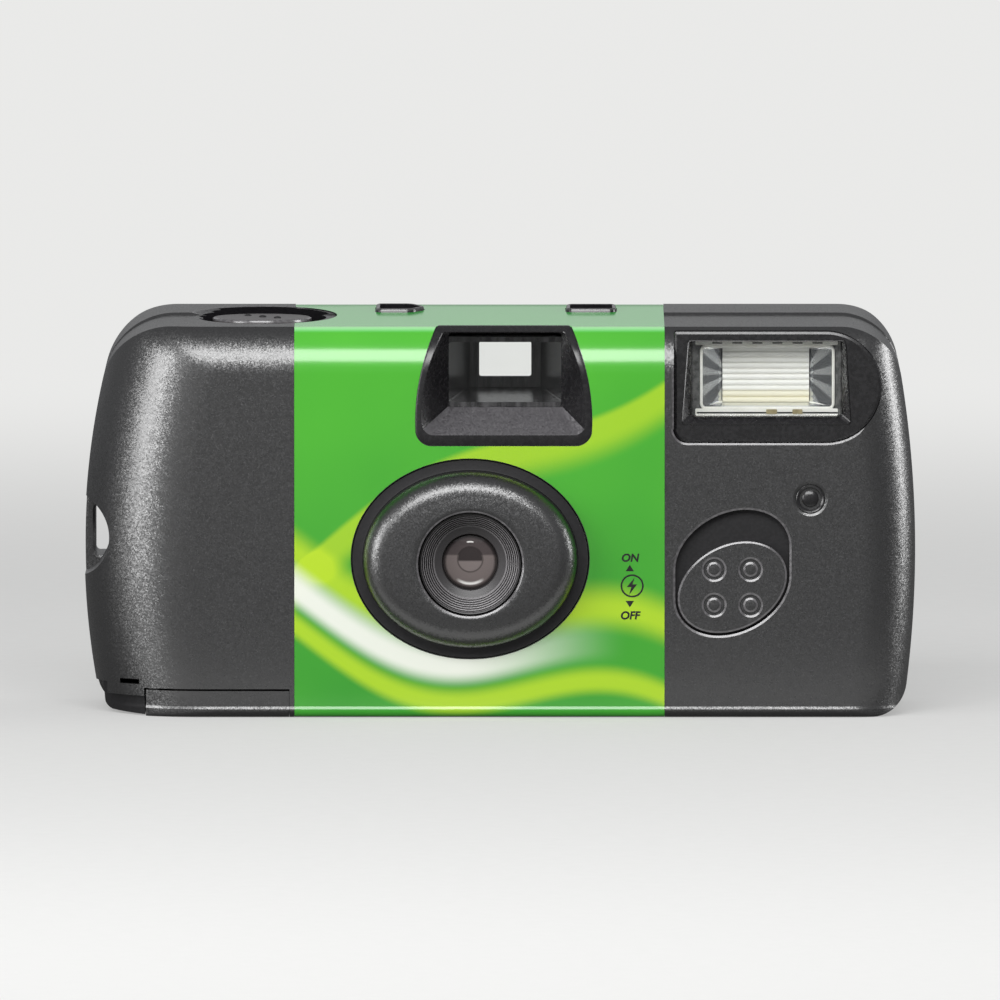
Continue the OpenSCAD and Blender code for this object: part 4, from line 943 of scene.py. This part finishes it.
def word(text, x, z, size):
    """A word made a mesh and set upright on the front of the label."""
    curve = bpy.data.curves.new(text, "FONT")
    curve.body, curve.size, curve.align_x, curve.align_y = text, size * MM, "CENTER", "CENTER"
    curve.shear, curve.offset, curve.extrude = 0.16, 0.05 * MM, 0.008 * MM
    holder = add("switch_word_" + text, curve)
    mesh = baked(holder)
    bpy.data.objects.remove(holder)
    upright = Matrix(((1, 0, 0, 0), (0, 0, -1, 0), (0, 1, 0, 0), (0, 0, 0, 1)))
    mesh.transform(Matrix.Translation((x * MM, (Y_FRONT - 0.006) * MM, z * MM)) @ upright)
    return add("switch_word_" + text, mesh)


arrow_up = [(-0.55, 19.0), (0.55, 19.0), (0, 19.85)]
arrow_down = [(0, 14.3), (0.55, 15.15), (-0.55, 15.15)]
bolt = [(0.65, 18.2), (-0.4, 16.95), (0.2, 16.95), (-0.1, 15.95), (0.95, 17.3), (0.35, 17.3)]
marks = ink_flat("switch_marks", [[(MARK_X + x, z) for x, z in ring] for ring in (arrow_up, arrow_down, bolt)])
dress(marks, ink, PRINT)
outer, inner = (oval(MARK_X + 0.3, 17.1, r, r) for r in (1.5, 1.28))
halo = hoop("switch_mark_circle", (outer, INK_Y[0]), (outer, INK_Y[1]), (inner, INK_Y[1]), (inner, INK_Y[0]))
dress(halo, ink, PRINT)
for text, z in (("ON", 20.7), ("OFF", 13.2)):
    dress(word(text, MARK_X, z, 1.42), ink, PRINT)

# %% [markdown]
# ## Lens mount
# A flat oval band lies level with the label, and inside it a shoulder rises four millimetres and
# rounds over to a plateau with the lens hole. Rings that go from an oval to a circle make all of it
# as one closed tube, so the highlight runs round the shoulder without a break.

# %% The oval mount
SHOULDER, PLATEAU, HOLE = (13.9, 11.45, -13.9), (11.0, 8.55, -16.65), 7.0


def mount_ring(rx, rz, y):
    """A ring of the mount; the round hole sits a little lower than the oval round it."""
    z = MOUNT_Z + (LENS_Z - MOUNT_Z) * min(max((PLATEAU[0] - rx) / 4.0, 0.0), 1.0)
    return at_depth(oval(LENS_X, z, rx, rz, n=128), y)


rings = [(7.05, 7.05, -10.2), (15.36, 12.91, -11.0), (15.36, 12.91, -12.5), (15.26, 12.81, -12.63),
         (14.2, 11.75, -12.63), (14.02, 11.57, -12.68), (13.94, 11.49, -12.86), SHOULDER]
for a in np.linspace(0.1, pi / 2, 12):
    draw = 2.9 * (1 - cos(a))
    rings.append((SHOULDER[0] - draw, SHOULDER[1] - draw, SHOULDER[2] - 2.75 * sin(a)))
for t in (0.2, 0.4, 0.6, 0.8, 1.0):
    rx, rz = (p + (HOLE - p) * t for p in PLATEAU[:2])
    rings.append((rx, rz, PLATEAU[2] - 0.12 * sin(pi * t / 2)))
rings += [(r, r, y) for r, y in ((6.98, -16.76), (6.76, -16.67), (6.72, -16.4), (6.72, -10.2))]
mount = loft("lens_mount", [mount_ring(*r) for r in rings], closed=True)
dress(mount, charcoal, CASE, angle=50)
second_finish(mount, matte_black, lambda c, n: n.y < -0.95 and -12.66 < c.y < -12.55)
# A painted highlight on the edge of the lens hole.
second_finish(mount, rim_highlight_grey,
              lambda c, n: c.y < -16.6 and (c.x - LENS_X) ** 2 + (c.z - LENS_Z) ** 2 < 6.95 ** 2)

# %% [markdown]
# ## Lens and its light-trap rings
# The ring that holds the lens is a cone of fine steps that keep stray light off the glass. A node
# tree repeats one thin ring, each copy a little larger and further forward, on a smooth cone.

# %% Retainer, rings and glass
RING_R, RING_STEP, GLASS_R = 4.86, 0.26, 3.5


def from_lens(f, up=0.0):
    """Distance from the lens axis, or from a line above it, and height above it, as wires."""
    x, y, z = f.xyz()
    a, b = x - LENS_X, z - LENS_Z - up
    return (a * a + b * b) ** 0.5, b


def trap_painted_light():
    """Black plastic with its fine rings painted on: painted highlights on the crests, painted shade in the
    grooves and a painted light line at their inner edge.
    """
    f = Finish("light trap", Specular_IOR_Level=0.5)
    r, b = from_lens(f)
    # Painted highlights on the ring crests.
    painted_crest_highlight = f.ramp((r * (2 * pi / RING_STEP)).sine(), -0.2, 0.9) * f.band(r, 4.7, 4.9, 6.25, 6.4)
    # A painted light line at the rings' inner edge.
    edge = f.band(r, 4.6, 4.7, 4.75, 4.85)
    # Painted shade in the grooves over the ring zone; the cone inside stays a plainer grey.
    deep = f.mix(f.ramp(r, 4.7, 4.9), (60, 58, 59), (14, 13, 14))
    return f.feed(Base_Color=f.mix(painted_crest_highlight * 0.9 + edge * 0.7, deep, (150, 147, 149)),
                  Roughness=0.35 - painted_crest_highlight * 0.1)


def painted_lens_finish():
    """The lens as painted light: painted shade above, a paler painted reflection of the floor below, the round
    stop, a painted dark edge and painted glints low and at the top.
    """
    f = Finish("lens with painted reflections", Specular_IOR_Level=0.03, Roughness=0.1)
    r, b = from_lens(f)
    stop, above_stop = from_lens(f, 0.35)
    # Painted shade above and a paler painted reflection of the floor below.
    body = f.mix(1 - f.ramp(b, 0.75, 1.05), (80, 73, 73), (118, 109, 107))
    # Inside the stop the same: painted shade above, painted reflection below.
    inside = f.mix(1 - f.ramp(above_stop, -0.35, -0.05), (60, 55, 55), (126, 117, 115))
    seen = f.mix(1 - f.ramp(stop, 1.5, 1.6), body, inside)
    # A painted dark edge round the glass, and the stop's dark ring.
    shaded = f.mix(f.band(stop, 1.45, 1.6, 1.65, 1.8) * 0.5 + f.ramp(r, 2.95, 3.35) * 0.85, seen, (30, 28, 28))
    # Painted glints: a broad one low on the glass, a thin one at the top.
    painted_glints = (f.band(r, 2.5, 2.8, 2.9, 3.05) * f.ramp(0.0 - b / r, 0.75, 0.98)
             + f.band(r, 2.5, 2.58, 2.68, 2.76) * f.ramp(b / r, 0.98, 0.995))
    return f.feed(Base_Color=f.mix(painted_glints, shaded, (238, 236, 232)))


trap = trap_painted_light()
cone = [(3.55, -12.3), (3.7, -12.75), (4.7, -13.05), (6.4, -15.55), (6.55, -15.6), (6.55, -12.0), (3.55, -12.0)]
retainer = turned("lens_retainer_cone", cone, LENS_X, 0, LENS_Z, closed=True)
dress(retainer, trap, BLACK, "lens_retainer")
step = turned("light_trap_rings", [(RING_R + a, b) for a, b in circle(0.12, 8)], 0, 0, 0, n=72, closed=True)
row(step, 6, (0, -0.39, 0), trap, RING_STEP / RING_R)
dress(moved(step, LENS_X, -13.2, LENS_Z), trap, BLACK)
dome = [(r, -12.75 + 0.55 * (r / GLASS_R) ** 2) for r in np.linspace(0.02, GLASS_R, 14)]
glass = turned("taking_lens_glass", dome + [(GLASS_R, -11.75), (0.02, -11.75)], LENS_X, 0, LENS_Z)
dress(glass, painted_lens_finish(), CLEAR, "taking_lens")

# %% [markdown]
# ## Viewfinder
# A smooth black funnel leads to a clear window, with a stippled floor that kills glare. Behind the
# window a tube narrows to the eyepiece, which shows as a bright patch.

# %% Funnel, window and tube
def on_front(ring, lift):
    """A front-view ring laid on the front of the case, or a lift behind it."""
    return [(x, float(front_y(x, min(z, 50.9))) + lift, z) for x, z in ring]


inner = finder_ring(10.35, 36.8, 49.95, 1.0)
sill = [(x + 0.16, z) for x, z in finder_ring(7.3, 40.03, 49.68, 0.25, 0.0, 0.0)]
funnel = loft("finder_funnel", [
    on_front(mouth, 0.9), on_front(mouth, 0.0), on_front(grown(mouth, -0.12), -0.06),
    on_front(grown(inner, 0.12), -0.06), on_front(inner, 0.06), at_depth(grown(sill, 0.14), -8.55),
    at_depth(sill, -8.4), at_depth(grown(sill, 0.05), -7.9), at_depth(grown(inner, 0.4), -8.7)], closed=True)
dress(funnel, smooth_black, CASE)
second_finish(funnel, stippled, lambda c, n: n.z > 0.35 and n.y < -0.1 and 36.6 < c.z < 40.2)
front_pane = slab("finder_front_pane", rectangle(-7.1, 8.6, 39.6, 49.27, 0.3), -7.85, -6.95)
dress(front_pane, clear, CLEAR, "finder_front_lens")
TUBE_FRONT, TUBE_BACK = -6.85, 13.3
eye_patch = rectangle(-2.65, 4.15, 42.6, 47.2, 0.3)
tube = hoop("finder_tube_walls",
            (rectangle(-7.45, 8.95, 39.87, 49.07, 0.4), TUBE_FRONT),
            (rectangle(-4.65, 6.15, 40.47, 48.47, 0.4), TUBE_BACK),
            (eye_patch, TUBE_BACK), (eye_patch, 12.7),
            (rectangle(-3.9, 5.4, 41.2, 47.8, 0.3), 12.6), (rectangle(-6.7, 8.2, 40.6, 48.4, 0.3), TUBE_FRONT))
dress(tube, tube_grey, BLACK, "finder_tube")

# %% [markdown]
# ## Flash
# Behind a clear window sits a bright box with sloping ends. Its back is ribbed, and a glass tube
# runs across it. The ribs are one bar repeated in a row by the copy tree.

# %% Flash bezel, window, reflector and ribs
MIRROR_FRONT, MIRROR_BACK = (26.3, 43.2, 40.1, 47.95), (28.95, 40.2, 40.6, 47.7)
RIBS, RIB_STEP = 10, 0.73
plate = plug("flash_panel_plate", panel, (-8.9, -0.05), (-11.6, -0.05), (-11.69, -0.1), (-11.8, -0.4))
carve(plate, cutter(grown(bezel, 0.05), OUT, -5))
dress(plate, panel_black, CASE, angle=12)
flash_frame = hoop("flash_bezel", (bezel, -11.2), (bezel, -11.78), (grown(bezel, -0.12), -11.84),
                   (grown(pane, 0.12), -10.95), (grown(pane, 0.12), -10.4), (grown(bezel, -0.2), -10.4))
dress(flash_frame, smooth_black, CASE)
window = plug("flash_window_pane", pane, (-9.65, 0), (-11.1, 0), (-11.27, -0.06), (-11.32, -0.25))
dress(window, clear, CLEAR, "flash_window")
mirror_mouth, mirror_back = rectangle(*MIRROR_FRONT, 0.5), rectangle(*MIRROR_BACK, 0.3)
mirror = hoop("flash_reflector_box", (grown(mirror_mouth, 0.25), -8.9), (grown(mirror_mouth, 0.1), -9.2),
              (mirror_mouth, -9.1), (mirror_back, -6.6), (grown(mirror_back, 0.4), -6.3),
              (grown(mirror_mouth, 0.3), -8.4))
dress(mirror, reflector_white, BRIGHT, "flash_reflector")
half_round = [(-0.28 * sin(a) * 1.4, 0.37 * cos(a)) for a in np.linspace(0, pi, 9)]
bar = loft("flash_ribs", [[(x, y, z) for y, z in half_round] for x in MIRROR_BACK[:2]])
row(bar, RIBS, (0, 0, RIB_STEP), ribs_finish)
dress(moved(bar, 0, -6.75, 40.95), ribs_finish, BRIGHT)
lip_ring = grown(mirror_mouth, 0.12)
lip = hoop("reflector_lip", *((grown(lip_ring, a), -9.3 + b) for a, b in circle(0.2, 8)))
dress(lip, bright_cream, BRIGHT)
seat_out, seat_in = grown(pane, 0.1), grown(mirror_mouth, 0.4)
dress(hoop("window_seat", (seat_out, -9.0), (seat_out, -9.5), (seat_in, -9.5), (seat_in, -9.0)), smoked, CASE)

# %% Strips, edges and clips round the reflector
for name, z0, z1 in (("window_strip_low", 39.05, 39.95), ("window_strip_high", 48.2, 48.75)):
    dress(slab(name, rectangle(25.4, 43.9, z0, z1, 0.15), -9.6, -9.3), bright_cream, BRIGHT)
edges = [loft("reflector_edges", [[(place[i] + a, y, place[j] + b) for a, b in circle(0.13, 8)]
                                  for place, y in ((MIRROR_FRONT, -9.15), (MIRROR_BACK, -6.7))])
         for i, j in ((0, 2), (1, 2), (1, 3), (0, 3))]
dress(carve(*edges, how="UNION"), bright_cream, BRIGHT)
dash = slab("window_dashes", rectangle(27.6, 28.9, 48.4, 48.54, 0.05), -9.75, -9.45)
dress(row(dash, 6, (2.6, 0, 0), matte_black), matte_black, CASE)
clips = [slab("window_clips", rectangle(x0, x1, 39.25, 39.85, 0.1), -9.8, -9.45)
         for x0, x1 in ((34.6, 36.0), (38.0, 39.3))]
dress(carve(*clips, how="UNION"), beige_clip, BRIGHT)
shadow_line = slab("window_shadow_line", rectangle(25.6, 43.9, 39.32, 39.5, 0.05), -9.72, -9.45)
dress(shadow_line, matte_black, CASE)

# %% [markdown]
# ## Flash switch
# A tilted oval knob slides up in its slot. Four ringed studs give the thumb a hold. The plate behind
# the knob keeps the slot dark at both ends of the travel.

# %% Knob, plate and studs
STUD_X, STUD_Z, KNOB_Y = 2.36, 2.32, -12.36


# The rim bevels of the knob and its studs, which get a painted highlight.
def edge_highlight(c, n):
    return -0.97 < n.y < -0.5


knob = plug("switch_knob", oval(SWITCH_X, SWITCH_Z, 7.5, 5.5, 28),
            (-11.2, 0), (-12.26, 0), (-12.34, -0.05), (-12.42, -0.27))
cover_ring = rectangle(SWITCH_X - 9.2, SWITCH_X + 9.2, SWITCH_Z - 10.7, SWITCH_Z + 10.7, 1.0)
dress(slab("switch_plate", cover_ring, -11.34, -10.3), matte_black, CASE, body="switch")
groove = [(1.62, -5), (1.62, -0.06), (1.36, 0.04), (1.3, 0.42), (0.02, 0.42)]
carve(knob, *(turned("ring_cut", groove, SWITCH_X + dx, KNOB_Y, SWITCH_Z + dz, n=48)
            for dx in (-STUD_X, STUD_X) for dz in (-STUD_Z, STUD_Z)))
dress(knob, charcoal, CASE, "flash_switch", body="switch", angle=12)
# A painted highlight on the knob's rim bevel.
second_finish(knob, rim_highlight_grey, edge_highlight)
bead = [(0.98, 0.45), (0.96, 0.06), (0.7, -0.05), (0.62, -0.06), (0.02, -0.06)]
stud = turned("switch_studs", bead, 0, 0, 0, n=40)
row(stud, 2, (2 * STUD_X, 0, 0), smooth_black)
row(stud, 2, (0, 0, 2 * STUD_Z), smooth_black)
dress(moved(stud, SWITCH_X - STUD_X, KNOB_Y, SWITCH_Z - STUD_Z), charcoal, CASE, body="switch", angle=15)
# A painted highlight on the studs' rims.
second_finish(stud, rim_highlight_grey, edge_highlight)
port_dome = [(0.02, 0.74), (1.1, 0.74), (1.06, 0.56), (0.85, 0.44), (0.5, 0.36), (0.02, 0.33)]
dress(turned("port_floor", port_dome, *PORT, n=40), smooth_black, CASE)
port_wall = [(1.42, 0.75), (1.42, 0.3), (1.5, 0.2), (1.75, 0.1), (1.82, 0.14), (1.82, 0.75)]
dress(turned("port_ring", port_wall, *PORT, n=48, closed=True), smooth_black, CASE)

# %% [markdown]
# ## Shutter button and the windows on top
# The button is a flat disc in its dish, with three small dots for the finger. Beside it on top are
# the exposure counter's window, pointed at one end, and the ready lamp's window, each with a raised
# bevelled frame.

# %% Button, dots, window frames
cap = [(0.02, 50.9), (3.0, 50.93), (5.6, 51.0), (6.2, 51.02), (6.42, 50.9), (BUTTON_R, 50.65), (BUTTON_R, 48.9),
       (7.15, 48.85), (7.15, 48.3), (1.5, 48.25), (0.02, 48.25)]
button = turned("shutter_button_cap", cap, BUTTON_X, BUTTON_Y, 0, "Z")
carve(button, turned("stem", [(1.4, 47.2), (1.4, 48.5)], BUTTON_X, -0.6, 0, "Z", n=32), how="UNION")
dress(button, cap_grey_sheen, CASE, "shutter_button", body="button", angle=20)
# A painted highlight on the button's front lip.
second_finish(button, rim_highlight_grey, lambda c, n: from_button(c) > 6.25 and c.z > 50.6)
dot = turned("button_dots", [(0.5, -0.1), (0.45, 0.1), (0.2, 0.18), (0.02, 0.19)], 0, 0, 0, "Z", n=24)
row(dot, 3, (1.95, -2.1, 0), matte_black)
dress(moved(dot, -32.8, 6.6, 50.95), matte_black, CASE, body="button")


def on_top(hole, steps):
    """Rings on the sloping top: pairs of height above it and growth."""
    return [[(x, y, top_at(y) + up) for x, y in grown(hole, by)] for up, by in steps]


def top_frame(name, hole):
    """A raised bevelled frame round a window in the sloping top, lightened as a painted highlight, with painted
    shade on its inner walls and plain smooth black at its outer foot.
    """
    steps = ((-1.6, 0.5), (0.24, 0.5), (0.46, 0.36), (0.5, 0.18), (0.42, 0.0), (-0.6, -0.3), (-1.6, -0.3))
    ring = dress(loft(name, on_top(hole, steps), closed=True), frame_highlight_grey, CASE)
    middle = np.mean(hole, axis=0)
    outwards = lambda c, n: (c.x - middle[0]) * n.x + (c.y - middle[1]) * n.y
    # Painted shade on the frame's inner walls.
    second_finish(ring, shade_black, lambda c, n: c.z - top_at(c.y) < 0.4 and outwards(c, n) < -0.1)
    second_finish(ring, smooth_black, lambda c, n: c.z - top_at(c.y) < 0.2 and outwards(c, n) > 0.1)


top_frame("counter_window_frame", counter_hole)
top_frame("lamp_window_frame", lamp_hole)
for name, hole, *nodes in (("counter_window_pane", counter_hole, "counter_window"),
                           ("lamp_window_pane", lamp_hole)):
    dress(loft(name, on_top(hole, ((-1.5, -0.3), (-0.62, -0.3), (-0.5, -0.5)))), clear, CLEAR, *nodes)

# %% [markdown]
# ## Thumb wheel
# The film is wound on by a ridged wheel that shows through the back. One ridge, repeated by the ring
# tree, stands round the rim of a turned disc.

# %% Wheel and ridges
RIM_R, RIDGES, SUNK = 12.85, 48, WHEEL_HIGH - 0.8
disc = turned("wheel_disc", [
    (1.9, 36.6), (1.9, WHEEL_LOW), (12.6, WHEEL_LOW), (RIM_R, WHEEL_LOW + 0.25), (RIM_R, WHEEL_HIGH - 0.25),
    (12.6, WHEEL_HIGH), (10.5, WHEEL_HIGH), (10.4, SUNK), (5.1, SUNK), (5.0, WHEEL_HIGH), (0.02, WHEEL_HIGH)],
    WHEEL_X, WHEEL_Y, 0, "Z")
dress(disc, matte_black, BLACK, "advance_wheel", body="wind")
ridge_ring = ((-0.7, -0.55), (0.35, -0.45), (0.53, -0.2), (0.53, 0.2), (0.35, 0.45), (-0.7, 0.55))
ridge = loft("wheel_ridges", [[(x, y, z) for x, y in ridge_ring] for z in (WHEEL_LOW + 0.1, WHEEL_HIGH - 0.1)])
repeat(ridge, ring_tree, Count=RIDGES, Radius=RIM_R * MM, Finish=matte_black)
dress(moved(ridge, WHEEL_X, WHEEL_Y, 0), matte_black, BLACK, body="wind")

# %% [markdown]
# ## The works inside
# The chassis, film, shutter and flash parts keep their solid shapes. They show through windows, at
# the open film door and in a section, so each gets the finish of its own stuff.

# %% Finishes of the inner solids
def wrapped(name, jacket, end, bands):
    """A jacket with plain stripes across X."""
    f = Finish(name)
    stripe = f.ramp((f.xyz()[0] * bands).sine(), 0.2, 0.5)
    return f.feed(Base_Color=f.mix(stripe, jacket, end), Roughness=0.25 + f.noise(2.0) * 0.12)


inner_finishes = {
    BLACK: matte_black, CASE: charcoal, CLEAR: clear, "pale_plastic": pale_plastic, PRINT: printed,
    "spring_steel": streaked("spring steel", (168, 170, 172), (206, 208, 210), (0.1, 6.0, 6.0), 2.0,
                             (0.22, 0.2), 0.002, metal=1.0),
    "cartridge_metal": mottled("painted cartridge", (108, 138, 66), (126, 156, 82), 5.0, 0.3),
    "film_base": mottled("film base", (74, 54, 38), (94, 72, 52), 6.0, 0.15),
    BRIGHT: reflector_white, "tube_glass": see_through("tube glass", (0.96, 0.95, 0.92), 0.03),
    "circuit_board": mottled("circuit board", (36, 92, 56), (52, 116, 74), 1.2, 0.4),
    "component_body": mottled("component body", (44, 44, 48), (62, 62, 66), 1.5, 0.45),
    "cell_jacket": wrapped("cell jacket", (150, 108, 40), (34, 33, 34), 0.09),
}
for sub in frame["record"]["subparts"]:
    solid = frame["nodes"][sub["node"]]
    solid.data.materials.clear()
    solid.data.materials.append(inner_finishes[sub["material_slot"]])
blackened = mottled("blackened blade", (36, 36, 38), (48, 48, 50), 2.0, 0.4, 0.6)
frame["nodes"]["shutter_blade"].data.materials[0] = blackened
for spare in (form, shell, front_shell):
    bpy.data.objects.remove(spare)

# %% [markdown]
# ## Floor, light and camera
# The photo was taken from far away, four degrees above the horizon, so lines stay parallel. A wide
# soft lamp above the front draws the bright line along the roll, a tall one at the left lights the
# grip and one at the right the other edge. A weak one behind lifts the top and the back.

# %% Stage
FLOOR = 4000


def looks(web):
    """Wires that are 1 for the camera's own rays and for mirrored rays."""
    own, mirrored, through = web.node("ShaderNodeLightPath",
                                      out=("Is Camera Ray", "Is Glossy Ray", "Is Transmission Ray"))
    return own.most(through), mirrored


def pale_floor():
    """An even pale floor with a soft shadow.

    Mirrors see it dark, apart from a glowing patch before the foot and one at the left, which only mirrors see:
    painted reflections with no lamp behind them."""
    f = Finish("pale floor")
    spots = f.noise(2.5, 3.0)
    own, mirrored = looks(f)
    cloth = f.mix(spots, (0.15, 0.15, 0.148), (0.19, 0.19, 0.186), linear)
    seen = f.mix(spots, (0.68, 0.68, 0.67), (0.74, 0.74, 0.73), linear)
    f.feed(Base_Color=f.mix(own, cloth, seen), Roughness=0.75 + spots * 0.15)
    x, y, z = f.xyz()
    far = f.ramp((x * x + y * y) ** 0.5, 180.0, 620.0)
    # Glowing patches that only mirrors see: painted reflections on the lower rounds.
    front_glow_for_mirrors = f.band(y, -44.0, -32.0, -22.0, -17.0) * (1 - f.ramp((x + 4).size(), 60.0, 90.0))
    left_glow_for_mirrors = (1 - f.ramp(x, -130.0, -70.0)) * (1 - f.ramp(y, -60.0, 0.0))
    share = (0.42 + far * 0.58) * own + mirrored * (0.03 + (front_glow_for_mirrors * 0.95).most(left_glow_for_mirrors * 0.6))
    glow = f.node("ShaderNodeEmission", {"Color": (0.82, 0.82, 0.81, 1.0), "Strength": 1.0})
    return f.mixed_surface(share, Wire(f, f.shader.outputs[0]), glow)


ground = [(-FLOOR, -FLOOR, -0.05), (FLOOR, -FLOOR, -0.05), (FLOOR, FLOOR, -0.05), (-FLOOR, FLOOR, -0.05)]
floor = piece_from("floor", ground, [[0, 1, 2, 3]])
floor.data.materials.append(pale_floor())


def soft_lamp(name, place, size, watts):
    """A rectangular lamp aimed at the middle of the camera."""
    data = bpy.data.lights.new(name, "AREA")
    data.shape, data.size, data.size_y, data.energy = "RECTANGLE", *size, watts
    lamp = add(name, data)
    aim = np.array([0, 0, 0.026]) - np.array(place)
    lamp.location = place
    lamp.rotation_euler = (pi / 2 + atan2(aim[2], sqrt(aim[0] ** 2 + aim[1] ** 2)), 0, atan2(-aim[0], aim[1]))


soft_lamp("lamp above the front", (-0.06, -0.56, 0.40), (0.56, 0.28), 3.7)
soft_lamp("lamp at the left", (-0.63, -0.42, 0.07), (0.3, 0.46), 3.5)
soft_lamp("lamp at the right", (0.66, 0.05, 0.08), (0.22, 0.45), 2.7)
soft_lamp("lamp behind", (-0.1, 0.85, 0.30), (0.7, 0.25), 0.14)
world = bpy.data.worlds.new("plain room")
world.use_nodes = True
room = Web(world.node_tree)
sky = room.tree.nodes["Background"]
sky.inputs["Color"].default_value = (0.92, 0.93, 0.95, 1)
own, mirrored = looks(room)
room.tree.links.new((0.32 + 0.56 * own + 0.01 * mirrored).socket, sky.inputs["Strength"])
bpy.context.scene.world = world
bpy.context.scene.view_settings.view_transform = "Standard"
print(len(bpy.data.lights), "lamps")

# %% Camera
UP, FAR = radians(4.3), 3.0
lens = bpy.data.cameras.new("photo camera")
lens.sensor_width, lens.lens, lens.clip_end = 36.0, 829.5, 20.0
eye_point = add("photo camera", lens)
eye_point.location = (0.000065, -FAR * cos(UP), 0.02732 + FAR * sin(UP))
eye_point.rotation_euler = (pi / 2 - UP, 0, 0)
bpy.context.scene.camera = eye_point
print("camera", [round(c, 3) for c in eye_point.location])
